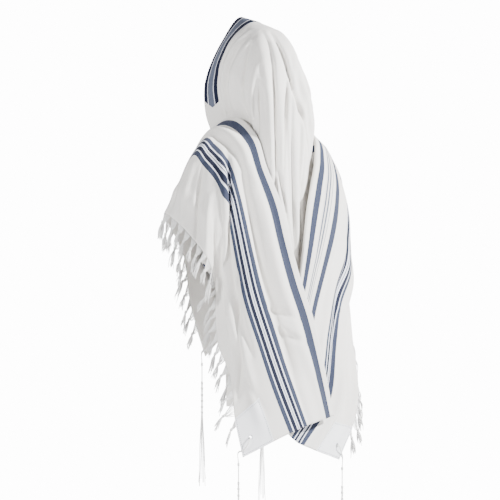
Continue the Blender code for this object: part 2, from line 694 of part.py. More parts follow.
def main():
    """Build the shawl's pieces."""
    for thing in list(bpy.data.objects):
        bpy.data.objects.remove(thing)
    parts = bpy.data.collections.new(COLLECTION)
    tools = bpy.data.collections.new("cutters")
    bpy.context.scene.collection.children.link(parts)
    bpy.context.scene.collection.children.link(tools)

    left, runs, left_acrosses = drape_grid(
        LEFT_ROWS, (0.0, BAND_CENTRE, LEFT_SHOWN), LEFT_FOLDS, LEFT_SHOWN, LEFT_OUTWARD)
    right, _, right_acrosses = drape_grid(
        RIGHT_ROWS, (0.0, BAND_CENTRE, STRIPE_CENTRE, RIGHT_SHOWN), RIGHT_FOLDS, RIGHT_SHOWN,
        RIGHT_OUTWARD)
    back, _, back_acrosses = back_grid()
    layers = 2 * FOLD_RADIUS + LAYER_GAP
    right = tuck_softly(right, left, LEFT_OUTWARD, layers)
    back = tuck_softly(back, left, LEFT_OUTWARD, layers)
    back = tuck_softly(back, right, RIGHT_OUTWARD, layers)
    add_cloth("cloth_hood_back", back, BACK_OUTWARD, WALL, WOOL, parts)
    add_cloth("atarah", atarah_grid(back, back_acrosses), BACK_OUTWARD, ATARAH_WALL, BAND, parts)
    for side, grid, acrosses, outward in (("left", left, left_acrosses, LEFT_OUTWARD),
                                          ("right", right, right_acrosses, RIGHT_OUTWARD)):
        drape = add_cloth("cloth_" + side + "_drape", turn_under(grid, acrosses, outward),
                          outward, WALL, WOOL, parts)
        add_fringe("fringe_" + side, grid, runs, parts, tools)
        for end in ("front", "back"):
            add_corner(side, end, grid, outward, drape, parts, tools)


main()
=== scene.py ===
"""A worn tallit prayer shawl: its woven cloth, stripes, neckband, patches, fringe and tzitzit."""

import logging
import math
from dataclasses import dataclass
from enum import Enum

import bpy
import numpy as np
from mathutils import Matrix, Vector
from mathutils.bvhtree import BVHTree


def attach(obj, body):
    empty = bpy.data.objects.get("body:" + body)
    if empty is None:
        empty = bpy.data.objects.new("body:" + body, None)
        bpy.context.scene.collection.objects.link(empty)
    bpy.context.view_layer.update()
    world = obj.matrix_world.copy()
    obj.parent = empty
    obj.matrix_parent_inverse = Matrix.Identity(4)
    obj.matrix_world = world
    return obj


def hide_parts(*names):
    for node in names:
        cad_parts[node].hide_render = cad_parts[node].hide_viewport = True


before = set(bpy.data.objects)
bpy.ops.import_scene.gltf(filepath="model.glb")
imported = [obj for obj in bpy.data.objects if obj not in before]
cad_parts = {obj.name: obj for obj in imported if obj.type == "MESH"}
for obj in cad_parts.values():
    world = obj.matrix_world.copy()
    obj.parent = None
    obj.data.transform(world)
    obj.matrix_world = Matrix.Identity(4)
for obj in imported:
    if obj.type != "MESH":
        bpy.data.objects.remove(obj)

LOG = logging.getLogger("shawl")
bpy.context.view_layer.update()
CLOTH_UV = "cloth_metres"
DOWN = np.array((0.0, 0.0, -1.0))
# A direction that no thread and no eyelet here points along
ASLANT = (0.31, 0.93, 0.17)
# Points of a thread that are nearer than this become one, in metres
MERGED = 0.00001
# A place across the cloth that is past every stripe, in metres
PAST_STRIPES = 2.0
# How bluntly a fold ends, and how many lines of points go round a folded edge
FOLD_FADE = 0.6
FOLD_TURNS = 8

Point = tuple[float, float, float]
# A thread's route of points, and its radius at each
Strand = tuple[np.ndarray, np.ndarray]


class Side(Enum):
    """The wearer's left or right."""

    LEFT = "left"
    RIGHT = "right"


class End(Enum):
    """The end of a fringed edge that hangs in front or behind."""

    FRONT = "front"
    BACK = "back"


@dataclass(frozen=True)
class ClothSizes:
    """The cut of the cloth and how it is folded, in metres."""

    depth: float = 1.30
    wall: float = 0.002
    seam_gap: float = 0.0004
    band_centre: float = 0.183
    stripe_centre: float = 0.301
    left_shown: float = 0.325
    right_shown: float = 0.403
    fold_radius: float = 0.004
    turned_under: float = 0.07
    layer_gap: float = 0.0028
    lap_past_fold: float = 0.006
    back_half: float = 0.435
    back_length: float = 1.22
    back_area: float = 0.50
    step: float = 0.005


@dataclass(frozen=True)
class Settling:
    """How a panel gives way under the one on top, and how its moves spread."""

    reach: float = 0.03
    side_share: float = 0.5
    side_least: float = 0.002
    rounds: int = 24
    kept: float = 0.5
    taken: float = 0.125
    times: int = 2


@dataclass(frozen=True)
class BandSizes:
    """The neckband, in metres."""

    length: float = 0.58
    width: float = 0.07
    margin: float = 0.004
    wall: float = 0.001
    point: float = 0.018
    points_across: int = 21
    points_along: int = 151


@dataclass(frozen=True)
class PatchSizes:
    """A corner patch with its stitching and its eyelet, in metres."""

    side: float = 0.10
    wall: float = 0.001
    eyelet_in: float = 0.036
    eyelet_radius: float = 0.004
    punch_depth: float = 0.012
    punch_sides: int = 24
    edge_in: float = 0.0012
    edge_radius: float = 0.0011
    edge_points: int = 40
    edge_share_of_wall: float = 0.7
    stitch_in: float = 0.0048
    stitch_pitch: float = 0.0050
    stitch_parts: tuple[float, ...] = (0.1, 0.25, 0.4, 0.55, 0.7)
    stitch_arch: tuple[float, ...] = (-0.5, 0.45, 0.7, 0.45, -0.5)
    thread_radius: float = 0.00055
    rim_windings: int = 28
    rim_points: int = 4
    rim_out: float = 0.0009
    rim_swing: float = 0.0008
    rim_lift: float = 0.0002
    rim_rise: float = 0.0003
    rim_thread: float = 0.00035


@dataclass(frozen=True)
class Uneven:
    """A change that comes and goes from one tassel to the next."""

    share: float
    pace: float

    def at(self, k: int) -> float:
        """Read the change at one tassel.

        Args:
            k: The tassel's number.

        Returns:
            The change there.
        """
        return self.share * math.sin(self.pace * k)


@dataclass(frozen=True)
class FringeSizes:
    """The knotted fringe, in metres and in shares of a tassel's length."""

    tassels: int = 33
    clear_of_corner: float = 0.07
    length: float = 0.068
    longer: Uneven = Uneven(0.12, 3.7)
    knot_at: float = 0.36
    knot_lower: Uneven = Uneven(0.2, 4.3)
    out: float = 0.75
    down: float = 0.65
    swing: Uneven = Uneven(0.06, 2.4)
    quick_swing: Uneven = Uneven(0.036, 5.1)
    sway: Uneven = Uneven(0.14, 1.9)
    roots: int = 9
    root_spread: float = 0.015
    root_least: float = 0.8
    root_wider: Uneven = Uneven(0.3, 2.9)
    root_jitter: float = 0.12
    root_points: int = 7
    sag: float = 0.003
    wrap_above: float = 0.003
    wrap_below: float = 0.004
    wrap_radius: float = 0.0030
    wrap_pitch: float = 0.0021
    wrap_points: int = 7
    wrap_thread: float = 0.0014
    strands: int = 15
    clumps: int = 5
    clump_jitter: float = 0.24
    fall_along: float = 0.5
    fall_down: float = 0.7
    spread_least: float = 0.35
    end_least: float = 0.66
    end_more: float = 0.46
    waist: float = 0.0018
    flare: float = 0.0080
    middle_flare: float = 0.8
    tip_sway: float = 0.012
    middle_sway: float = 0.007
    tip_fall: float = 0.65
    thread: float = 0.0010
    swell: tuple[float, ...] = (1, 1.2, 1.3, 1.3, 1.25, 1.15, 1.0, 0.6)


@dataclass(frozen=True)
class TzitzitSizes:
    """The knotted thread through each eyelet, in metres."""

    thread: float = 0.0008
    loop_over: float = 0.003844
    loop_under: float = 0.0031
    loop_threads: int = 4
    loop_spacing: float = 0.0010
    loop_points: int = 44
    loop_end_out: float = 0.001
    past_edge: float = 0.006
    edge_share: float = 0.45
    knot_past_edge: float = 0.008
    knot_below: float = 0.030
    knot_height: float = 0.0035
    knot_radius: float = 0.0024
    knot_pitch: float = 0.0016
    knot_thread: float = 0.00088
    upper_knots_apart: float = 0.004
    lower_knots_apart: float = 0.003
    thin: float = 0.05
    thin_threads: int = 4
    thin_points: int = 26
    thin_half_turns: float = 9
    thin_radius: float = 0.00096
    wound: float = 0.08
    core: float = 0.0019
    pitch: float = 0.0021
    wound_thread: float = 0.00092
    ridges: tuple[float, ...] = (0.2, 0.42, 0.62, 0.82, 1.0)
    ridge_height: float = 0.0045
    ridge_radius: float = 0.00285
    ridge_pitch: float = 0.0018
    ridge_thread: float = 0.00096
    strands: int = 8
    loose: float = 0.20
    loose_shorter: float = 0.05
    loose_points: int = 30
    loose_start: float = 0.0016
    loose_spread: float = 0.0085
    loose_sway: float = 0.0016
    bend_least: float = 5
    bend_more: float = 2
    bend_start: float = 6


CLOTH = ClothSizes()
BAND = BandSizes()
PATCH = PatchSizes()
FRINGE = FringeSizes()
TZITZIT = TzitzitSizes()
SETTLING = Settling()
# Where each fringe's uneven tassels start their draws
DRAWS = {Side.LEFT: 11, Side.RIGHT: 23}
# The underside of a sewn piece, over the middle of the cloth it is sewn on
SEAM = CLOTH.wall / 2 + CLOTH.seam_gap


@dataclass(frozen=True)
class DrapeRow:
    """A line across a drape: where it meets the fringed edge, the wide band and the fold."""

    run: float
    edge: Point
    band: Point
    fold: Point


@dataclass(frozen=True)
class WideRow:
    """The same for the wider drape, with one more point where the narrow stripe runs."""

    run: float
    edge: Point
    band: Point
    stripe: Point
    fold: Point


@dataclass(frozen=True)
class BackRow:
    """A line across the hood and back from the middle out to one side."""

    run: float
    middle: Point
    temple: Point
    side: Point
    neck: Point
    end: Point


LEFT_ROWS = (
    DrapeRow(0.00, (0.085, -0.142, -0.880), (-0.048, -0.170, -0.765), (-0.100, -0.165, -0.655)),
    DrapeRow(0.15, (0.135, -0.140, -0.742), (0.010, -0.172, -0.628), (-0.035, -0.168, -0.520)),
    DrapeRow(0.30, (0.165, -0.135, -0.600), (0.085, -0.166, -0.495), (0.045, -0.155, -0.385)),
    DrapeRow(0.40, (0.222, -0.118, -0.525), (0.182, -0.095, -0.375), (0.100, -0.112, -0.292)),
    DrapeRow(0.46, (0.268, -0.070, -0.496), (0.200, -0.005, -0.318), (0.098, -0.045, -0.250)),
    DrapeRow(0.52, (0.275, 0.000, -0.520), (0.195, 0.030, -0.340), (0.088, 0.010, -0.243)),
    DrapeRow(0.60, (0.270, 0.060, -0.560), (0.182, 0.075, -0.385), (0.078, 0.078, -0.288)),
    DrapeRow(0.70, (0.250, 0.102, -0.615), (0.176, 0.108, -0.455), (0.066, 0.112, -0.375)),
    DrapeRow(0.80, (0.205, 0.075, -0.685), (0.174, 0.135, -0.535), (0.047, 0.150, -0.470)),
    DrapeRow(0.90, (0.195, 0.065, -0.765), (0.168, 0.158, -0.625), (0.033, 0.172, -0.568)),
    DrapeRow(1.00, (0.200, 0.085, -0.850), (0.154, 0.176, -0.720), (0.008, 0.187, -0.675)),
    DrapeRow(1.10, (0.193, 0.130, -0.930), (0.121, 0.190, -0.830), (-0.027, 0.194, -0.775)),
    DrapeRow(1.20, (0.190, 0.145, -1.040), (0.080, 0.200, -0.945), (-0.063, 0.193, -0.900)),
    DrapeRow(1.30, (0.178, 0.165, -1.143), (0.027, 0.207, -1.070), (-0.105, 0.180, -1.036)),
)

RIGHT_ROWS = (
    WideRow(0.00, (-0.085, -0.142, -0.925), (0.010, -0.145, -0.785),
            (0.050, -0.145, -0.690), (0.105, -0.134, -0.625)),
    WideRow(0.15, (-0.150, -0.140, -0.792), (-0.090, -0.145, -0.618),
            (-0.045, -0.144, -0.530), (0.010, -0.142, -0.470)),
    WideRow(0.30, (-0.178, -0.138, -0.650), (-0.170, -0.146, -0.480),
            (-0.135, -0.142, -0.400), (-0.075, -0.138, -0.345)),
    WideRow(0.40, (-0.232, -0.135, -0.580), (-0.240, -0.085, -0.430),
            (-0.180, -0.090, -0.345), (-0.106, -0.105, -0.290)),
    WideRow(0.46, (-0.262, -0.115, -0.560), (-0.262, -0.015, -0.405),
            (-0.196, -0.015, -0.318), (-0.124, -0.035, -0.266)),
    WideRow(0.53, (-0.278, -0.085, -0.570), (-0.250, 0.025, -0.440),
            (-0.200, 0.030, -0.335), (-0.150, 0.030, -0.287)),
    WideRow(0.61, (-0.282, -0.050, -0.605), (-0.245, 0.058, -0.500),
            (-0.185, 0.085, -0.400), (-0.125, 0.080, -0.345)),
    WideRow(0.70, (-0.280, -0.020, -0.680), (-0.245, 0.060, -0.575),
            (-0.155, 0.128, -0.470), (-0.085, 0.118, -0.415)),
    WideRow(0.80, (-0.277, 0.008, -0.755), (-0.222, 0.088, -0.640),
            (-0.125, 0.150, -0.550), (-0.050, 0.147, -0.490)),
    WideRow(0.90, (-0.270, 0.035, -0.835), (-0.160, 0.125, -0.720),
            (-0.090, 0.162, -0.640), (-0.028, 0.162, -0.575)),
    WideRow(1.00, (-0.262, 0.060, -0.925), (-0.130, 0.142, -0.820),
            (-0.052, 0.170, -0.745), (-0.004, 0.172, -0.680)),
    WideRow(1.15, (-0.250, 0.085, -1.030), (-0.095, 0.153, -0.985),
            (-0.010, 0.172, -0.920), (0.040, 0.172, -0.880)),
    WideRow(1.30, (-0.170, 0.115, -1.155), (0.010, 0.176, -1.104),
            (0.070, 0.172, -1.060), (0.105, 0.162, -1.040)),
)

BACK_LEFT = (
    BackRow(0.00, (0, -0.100, 0.030), (0.058, -0.108, -0.040), (0.088, -0.138, -0.140),
            (0.098, -0.118, -0.256), (0.086, -0.112, -0.335)),
    BackRow(0.09, (0, -0.015, 0.012), (0.072, -0.030, -0.035), (0.100, -0.050, -0.140),
            (0.084, -0.052, -0.258), (0.100, -0.064, -0.330)),
    BackRow(0.18, (0, 0.062, -0.014), (0.072, 0.045, -0.060), (0.096, 0.020, -0.165),
            (0.072, 0.002, -0.264), (0.120, -0.005, -0.335)),
    BackRow(0.26, (0, 0.106, -0.068), (0.070, 0.082, -0.118), (0.086, 0.056, -0.200),
            (0.060, 0.042, -0.292), (0.126, 0.018, -0.365)),
    BackRow(0.36, (0, 0.118, -0.160), (0.058, 0.098, -0.190), (0.064, 0.072, -0.268),
            (0.072, 0.060, -0.338), (0.140, 0.032, -0.408)),
    BackRow(0.48, (0, 0.120, -0.280), (0.050, 0.106, -0.300), (0.076, 0.082, -0.355),
            (0.104, 0.070, -0.400), (0.155, 0.040, -0.460)),
    BackRow(0.65, (0, 0.130, -0.445), (0.052, 0.116, -0.450), (0.092, 0.096, -0.470),
            (0.128, 0.072, -0.495), (0.160, 0.045, -0.540)),
    BackRow(0.88, (0, 0.145, -0.670), (0.058, 0.136, -0.672), (0.102, 0.122, -0.675),
            (0.138, 0.096, -0.680), (0.165, 0.055, -0.700)),
    BackRow(1.22, (0, 0.142, -1.010), (0.062, 0.140, -1.010), (0.105, 0.126, -1.010),
            (0.140, 0.100, -1.010), (0.160, 0.060, -1.010)),
)

BACK_RIGHT = (
    BackRow(0.00, (0, -0.100, 0.030), (-0.058, -0.108, -0.040), (-0.088, -0.138, -0.140),
            (-0.092, -0.098, -0.262), (-0.084, -0.096, -0.335)),
    BackRow(0.09, (0, -0.015, 0.012), (-0.070, -0.030, -0.035), (-0.102, -0.045, -0.140),
            (-0.104, -0.045, -0.264), (-0.124, -0.055, -0.330)),
    BackRow(0.18, (0, 0.062, -0.014), (-0.070, 0.044, -0.062), (-0.108, 0.024, -0.160),
            (-0.122, 0.000, -0.275), (-0.150, -0.006, -0.345)),
    BackRow(0.26, (0, 0.106, -0.068), (-0.070, 0.085, -0.114), (-0.116, 0.054, -0.195),
            (-0.130, 0.022, -0.296), (-0.160, 0.008, -0.365)),
    BackRow(0.36, (0, 0.118, -0.160), (-0.070, 0.101, -0.190), (-0.126, 0.064, -0.252),
            (-0.128, 0.036, -0.340), (-0.170, 0.020, -0.410)),
    BackRow(0.48, (0, 0.120, -0.280), (-0.066, 0.108, -0.300), (-0.106, 0.070, -0.350),
            (-0.130, 0.050, -0.405), (-0.172, 0.026, -0.465)),
    BackRow(0.65, (0, 0.130, -0.445), (-0.055, 0.112, -0.450), (-0.094, 0.086, -0.470),
            (-0.130, 0.062, -0.495), (-0.175, 0.032, -0.540)),
    BackRow(0.88, (0, 0.145, -0.670), (-0.056, 0.130, -0.672), (-0.096, 0.108, -0.675),
            (-0.135, 0.080, -0.680), (-0.175, 0.040, -0.700)),
    BackRow(1.22, (0, 0.142, -1.010), (-0.055, 0.132, -1.010), (-0.095, 0.115, -1.010),
            (-0.130, 0.090, -1.010), (-0.160, 0.055, -1.010)),
)
BACK_ACROSS = (0.0, 0.10, 0.21, 0.34, 0.44)


@dataclass(frozen=True)
class Fold:
    """A soft ridge or trough from one place on a panel to another.

    It may bow sideways at its middle, and one flank may be steeper than the other.
    """

    from_run: float
    from_across: float
    to_run: float
    to_across: float
    width: float
    rise: float
    bow: float = 0.0
    lean: float = 0.0


BACK_FOLDS = (
    Fold(0.10, 0.045, 0.95, 0.020, 0.016, 0.0050),
    Fold(0.14, -0.030, 0.80, -0.030, 0.018, 0.0045),
    Fold(0.16, 0.010, 0.80, -0.004, 0.013, -0.0040),
    Fold(0.20, -0.090, 0.62, -0.075, 0.016, 0.0050),
    Fold(0.24, 0.110, 0.50, 0.070, 0.015, 0.0045),
    Fold(0.18, -0.150, 0.50, -0.120, 0.016, -0.0040),
    Fold(0.04, 0.170, 0.30, 0.190, 0.020, 0.0040),
)
LEFT_FOLDS = (
    Fold(0.56, 0.222, 0.84, 0.095, 0.012, -0.0080),
    Fold(0.50, 0.260, 0.95, 0.250, 0.018, 0.0050),
    Fold(0.90, 0.090, 1.28, 0.080, 0.018, 0.0080),
    Fold(1.05, 0.232, 1.34, 0.228, 0.010, -0.0070),
    Fold(0.40, 0.060, 0.70, 0.070, 0.020, 0.0060),
    Fold(-0.05, 0.130, 0.36, 0.120, 0.020, 0.0100),
    Fold(-0.05, 0.190, 0.36, 0.180, 0.020, -0.0070),
    Fold(-0.05, 0.255, 0.36, 0.240, 0.020, 0.0090),
)
RIGHT_FOLDS = (
    Fold(0.50, 0.270, 0.90, 0.240, 0.018, -0.0060),
    Fold(0.60, 0.120, 1.30, 0.110, 0.022, 0.0090),
    Fold(0.85, 0.230, 1.34, 0.235, 0.018, 0.0060),
    Fold(0.42, 0.060, 0.90, 0.055, 0.020, -0.0060),
    Fold(-0.05, 0.135, 0.36, 0.130, 0.022, 0.0060),
    Fold(-0.05, 0.200, 0.36, 0.190, 0.022, -0.0060),
    Fold(-0.05, 0.270, 0.36, 0.260, 0.022, 0.0060),
    Fold(-0.05, 0.340, 0.36, 0.330, 0.022, -0.0050),
)

# Creases finer than the frame's own folds, placed one by one after the worn cloth
BACK_CREASES = (
    Fold(0.15, 0.036, 0.72, 0.078, 0.0065, -0.0110, 0.004, 0.4),
    Fold(0.16, 0.062, 0.66, 0.104, 0.015, 0.0095, 0.004),
    Fold(0.17, 0.020, 0.50, -0.176, 0.0085, -0.0165, 0.054, 0.4),
    Fold(0.16, -0.016, 0.46, -0.214, 0.015, 0.0110, 0.050),
    Fold(0.104, 0.045, 0.090, 0.330, 0.0060, -0.0125, 0.010),
    Fold(0.122, 0.055, 0.108, 0.320, 0.0085, 0.0080, 0.010),
    Fold(0.142, 0.070, 0.124, 0.320, 0.0060, -0.0105, 0.010),
    Fold(0.164, 0.075, 0.146, 0.310, 0.0095, 0.0070, 0.008),
    Fold(0.17, 0.080, 0.26, 0.325, 0.0070, -0.0115, -0.008, 0.3),
    Fold(0.24, 0.080, 0.34, 0.300, 0.014, 0.0070),
    Fold(0.30, 0.110, 0.44, 0.240, 0.0065, -0.0095, 0.006),
    Fold(0.30, -0.005, 0.60, 0.032, 0.0065, -0.0095, -0.006, 0.3),
    Fold(0.44, -0.066, 0.98, -0.026, 0.0065, -0.0090, -0.012, 0.3),
    Fold(0.46, -0.042, 0.94, -0.004, 0.014, 0.0070, -0.010),
    Fold(0.54, 0.088, 0.86, -0.010, 0.012, 0.0080, 0.004),
    Fold(0.56, 0.066, 0.86, -0.022, 0.0065, -0.0085, 0.004, 0.3),
    Fold(0.48, -0.108, 0.92, -0.062, 0.008, -0.0080, 0.004, 0.3),
    Fold(0.24, -0.024, 1.02, -0.012, 0.0055, -0.0060, 0.003),
    Fold(0.05, -0.140, 0.40, -0.160, 0.012, 0.0070),
    Fold(0.06, -0.225, 0.34, -0.235, 0.010, -0.0075),
    Fold(0.16, -0.060, 0.36, -0.200, 0.008, -0.0085, 0.010, 0.3),
)
LEFT_CREASES = (
    Fold(0.55, 0.206, 0.86, 0.074, 0.012, 0.0130, 0.004),
    Fold(0.56, 0.228, 0.85, 0.100, 0.009, -0.0120, 0.004, 0.35),
    Fold(0.38, 0.230, 0.72, 0.246, 0.011, -0.0120, 0.004),
    Fold(0.38, 0.256, 0.74, 0.272, 0.011, 0.0100, 0.004),
    Fold(0.43, 0.290, 0.72, 0.300, 0.010, -0.0040),
    Fold(0.66, 0.238, 1.22, 0.238, 0.013, -0.0185, -0.006),
    Fold(0.66, 0.274, 1.22, 0.278, 0.014, 0.0165, -0.006),
    Fold(0.84, 0.218, 1.16, 0.226, 0.011, 0.0050, -0.004),
    Fold(1.04, 0.214, 1.10, 0.288, 0.008, -0.0075, 0.004, 0.2),
    Fold(1.07, 0.222, 1.13, 0.280, 0.007, 0.0045),
    Fold(1.10, 0.236, 1.15, 0.294, 0.006, -0.0050, -0.004),
    Fold(0.90, 0.158, 1.17, 0.012, 0.010, -0.0110, 0.008, 0.3),
    Fold(0.94, 0.104, 1.13, 0.010, 0.014, 0.0065),
    Fold(0.52, 0.156, 0.63, -0.010, 0.010, -0.0130, -0.008, 0.4),
    Fold(0.48, 0.136, 0.545, -0.010, 0.013, 0.0085),
    Fold(0.45, 0.120, 0.485, -0.010, 0.011, -0.0075),
    Fold(0.60, 0.120, 0.70, -0.010, 0.016, 0.0085),
    Fold(0.66, 0.090, 0.81, -0.010, 0.011, -0.0080, 0.0, 0.2),
    Fold(0.70, 0.300, 0.98, 0.306, 0.008, -0.0030),
    Fold(1.12, 0.060, 1.25, 0.110, 0.011, -0.0050),
    Fold(1.16, 0.285, 1.32, 0.290, 0.012, 0.0045),
    Fold(0.72, 0.130, 1.12, 0.118, 0.010, -0.0110, -0.006),
    Fold(0.72, 0.098, 1.08, 0.088, 0.014, 0.0070, -0.006),
)
RIGHT_CREASES = (
    Fold(0.52, 0.330, 0.92, 0.335, 0.010, 0.0040),
    Fold(0.56, 0.356, 0.90, 0.352, 0.007, -0.0040),
    Fold(0.60, 0.205, 1.02, 0.168, 0.013, -0.0080, 0.008, 0.2),
    Fold(0.68, 0.064, 1.18, 0.060, 0.011, -0.0130, 0.010, 0.3),
    Fold(0.78, 0.030, 1.22, 0.020, 0.011, 0.0075),
    Fold(0.94, 0.020, 1.28, 0.040, 0.013, 0.0085),
    Fold(0.92, 0.160, 1.32, 0.170, 0.012, -0.0085, 0.0, 0.2),
    Fold(1.04, 0.110, 1.34, 0.120, 0.013, 0.0080),
    Fold(0.60, 0.275, 1.00, 0.262, 0.010, -0.0060, -0.004, 0.2),
)


def unit(vector: np.ndarray) -> np.ndarray:
    """Give every row a length of one.

    Args:
        vector: One vector or an array of them.

    Returns:
        The same directions with unit length.
    """
    return vector / np.linalg.norm(vector, axis=-1, keepdims=True)


def spline(knots: np.ndarray, values: np.ndarray, wanted: np.ndarray) -> np.ndarray:
    """Read a smooth curve through values.

    Args:
        knots: Where the values lie.
        values: One value or point a knot.
        wanted: Where to read the curve.

    Returns:
        The curve's values at the wanted places.
    """
    knots = np.asarray(knots, float)
    values = np.asarray(values, float)
    wanted = np.asarray(wanted, float)
    step = np.diff(knots)
    rise = np.diff(values, axis=0) / step.reshape(-1, *[1] * (values.ndim - 1))
    slopes = np.empty_like(values)
    slopes[0] = rise[0]
    slopes[-1] = rise[-1]
    for k in range(1, len(knots) - 1):
        share = step[k] / (step[k - 1] + step[k])
        slopes[k] = rise[k - 1] * share + rise[k] * (1 - share)
    place = np.clip(np.searchsorted(knots, wanted, side="right") - 1, 0, len(step) - 1)
    shape = (-1,) + (1,) * (values.ndim - 1)
    width = step[place].reshape(shape)
    part = (wanted - knots[place]).reshape(shape) / width
    start = values[place]
    end = values[place + 1]
    return (start * (1 + 2 * part) * (1 - part) ** 2
            + slopes[place] * width * part * (1 - part) ** 2
            + end * part ** 2 * (3 - 2 * part)
            + slopes[place + 1] * width * part ** 2 * (part - 1))


@dataclass
class Panel:
    """A grid of points on a panel of cloth, run by across by xyz.

    Args:
        grid: The points.
        runs: How far along the fringed edge each row lies.
        acrosses: How far in from the fringed edge each column lies.
        outward: Which way the grid's normals turn to point out of the cloth.
    """

    grid: np.ndarray
    runs: np.ndarray
    acrosses: np.ndarray
    outward: int

    @classmethod
    def loft(cls, table: tuple, knots: tuple, runs: np.ndarray, acrosses: np.ndarray,
             outward: int) -> "Panel":
        """Spread a panel through the rows of a table.

        Args:
            table: Pairs of a run and the points across it.
            knots: How far across each of those points lies.
            runs: The wanted rows.
            acrosses: The wanted columns.
            outward: Which way out of the cloth is.

        Returns:
            The panel.
        """
        along = spline([row[0] for row in table], [row[1] for row in table], runs)
        grid = np.swapaxes(spline(knots, np.swapaxes(along, 0, 1), acrosses), 0, 1)
        return cls(grid, np.asarray(runs), np.asarray(acrosses), outward)

    def normals(self) -> np.ndarray:
        """Find the way out of the cloth at each point.

        Returns:
            Unit normals, one a point.
        """
        normal = np.cross(np.gradient(self.grid, axis=1), np.gradient(self.grid, axis=0))
        return unit(normal) * self.outward

    def raised(self, folds: tuple[Fold, ...]) -> "Panel":
        """Move the points out or in along each fold.

        Args:
            folds: The folds.

        Returns:
            A new panel.
        """
        run = self.runs[:, None]
        across = self.acrosses[None, :]
        lift = np.zeros(self.grid.shape[:2])
        for fold in folds:
            way = np.array((fold.to_run - fold.from_run, fold.to_across - fold.from_across))
            length = np.linalg.norm(way)
            way = way / length
            ahead = (run - fold.from_run) * way[0] + (across - fold.from_across) * way[1]
            aside = (across - fold.from_across) * way[0] - (run - fold.from_run) * way[1]
            part = np.clip(ahead / length, 0, 1)
            away = aside - fold.bow * np.sin(math.pi * part)
            width = fold.width * (1 + fold.lean * np.sign(away))
            rise = fold.rise * np.sin(math.pi * part) ** FOLD_FADE
            lift += rise * np.exp(-(away / width) ** 2)
        return Panel(self.grid + self.normals() * lift[:, :, None], self.runs, self.acrosses,
                     self.outward)

    def at(self, runs: np.ndarray, acrosses: np.ndarray, values: np.ndarray) -> np.ndarray:
        """Read values at places between the grid's points.

        Args:
            runs: The places' runs.
            acrosses: The places' distances across.
            values: A value at each of the grid's points.

        Returns:
            One value a place.
        """
        runs = np.asarray(runs, float)
        acrosses = np.asarray(acrosses, float)
        row = np.clip(np.searchsorted(self.runs, runs, side="right") - 1, 0, len(self.runs) - 2)
        column = np.searchsorted(self.acrosses, acrosses, side="right") - 1
        column = np.clip(column, 0, len(self.acrosses) - 2)
        down = ((runs - self.runs[row]) / (self.runs[row + 1] - self.runs[row]))[..., None]
        over = acrosses - self.acrosses[column]
        over = (over / (self.acrosses[column + 1] - self.acrosses[column]))[..., None]
        near = values[row, column] * (1 - over) + values[row, column + 1] * over
        far = values[row + 1, column] * (1 - over) + values[row + 1, column + 1] * over
        return near * (1 - down) + far * down

    def past_edge(self) -> np.ndarray:
        """Find the way out of the cloth at its fringed edge, square to that edge.

        Returns:
            One unit direction a row.
        """
        out = self.grid[:, 0] - self.grid[:, 1]
        edge = unit(np.gradient(self.grid[:, 0], axis=0))
        return unit(out - edge * np.sum(out * edge, axis=1, keepdims=True))

    def pressed(self, cover: "Panel", depth: float) -> "Panel":
        """Press the points down to a depth under another panel.

        Args:
            cover: The panel that lies on top.
            depth: How far below its middle this panel has to stay.

        Returns:
            A new panel.
        """
        lap = unit(cover.grid[:, -1] - cover.grid[:, -2]) * CLOTH.lap_past_fold
        inner = cover.grid - cover.normals() * depth
        inner = np.concatenate([inner, (inner[:, -1] + lap)[:, None]], axis=1)
        faces = grid_faces(*inner.shape[:2], cover.outward < 0)
        tree = BVHTree.FromPolygons(inner.reshape(-1, 3).tolist(), faces.tolist())
        settled = self.grid.reshape(-1, 3).copy()
        for k, point in enumerate(settled):
            place = Vector(point)
            near, lean, _, _ = tree.find_nearest(place, SETTLING.reach)
            if near is None:
                continue
            height = (place - near).dot(lean)
            sideways = (place - near - lean * height).length
            if height > 0 and sideways < height * SETTLING.side_share + SETTLING.side_least:
                settled[k] = place - lean * height
        return Panel(settled.reshape(self.grid.shape), self.runs, self.acrosses, self.outward)

    def eased(self, start: "Panel") -> "Panel":
        """Spread the moves made since an earlier form softly over their neighbours.

        Args:
            start: The earlier form.

        Returns:
            A new panel.
        """
        shift = self.grid - start.grid
        for _ in range(SETTLING.rounds):
            padded = np.pad(shift, ((1, 1), (1, 1), (0, 0)), mode="edge")
            beside = padded[1:-1, :-2] + padded[1:-1, 2:] + padded[:-2, 1:-1] + padded[2:, 1:-1]
            shift = shift * SETTLING.kept + beside * SETTLING.taken
        return Panel(start.grid + shift, self.runs, self.acrosses, self.outward)

    def tucked(self, cover: "Panel") -> "Panel":
        """Lay the panel softly under another one.

        Args:
            cover: The panel that lies on top.

        Returns:
            A new panel.
        """
        depth = 2 * CLOTH.fold_radius + CLOTH.layer_gap
        settled = self
        for _ in range(SETTLING.times):
            settled = settled.pressed(cover, depth).eased(self)
        return settled.pressed(cover, depth)

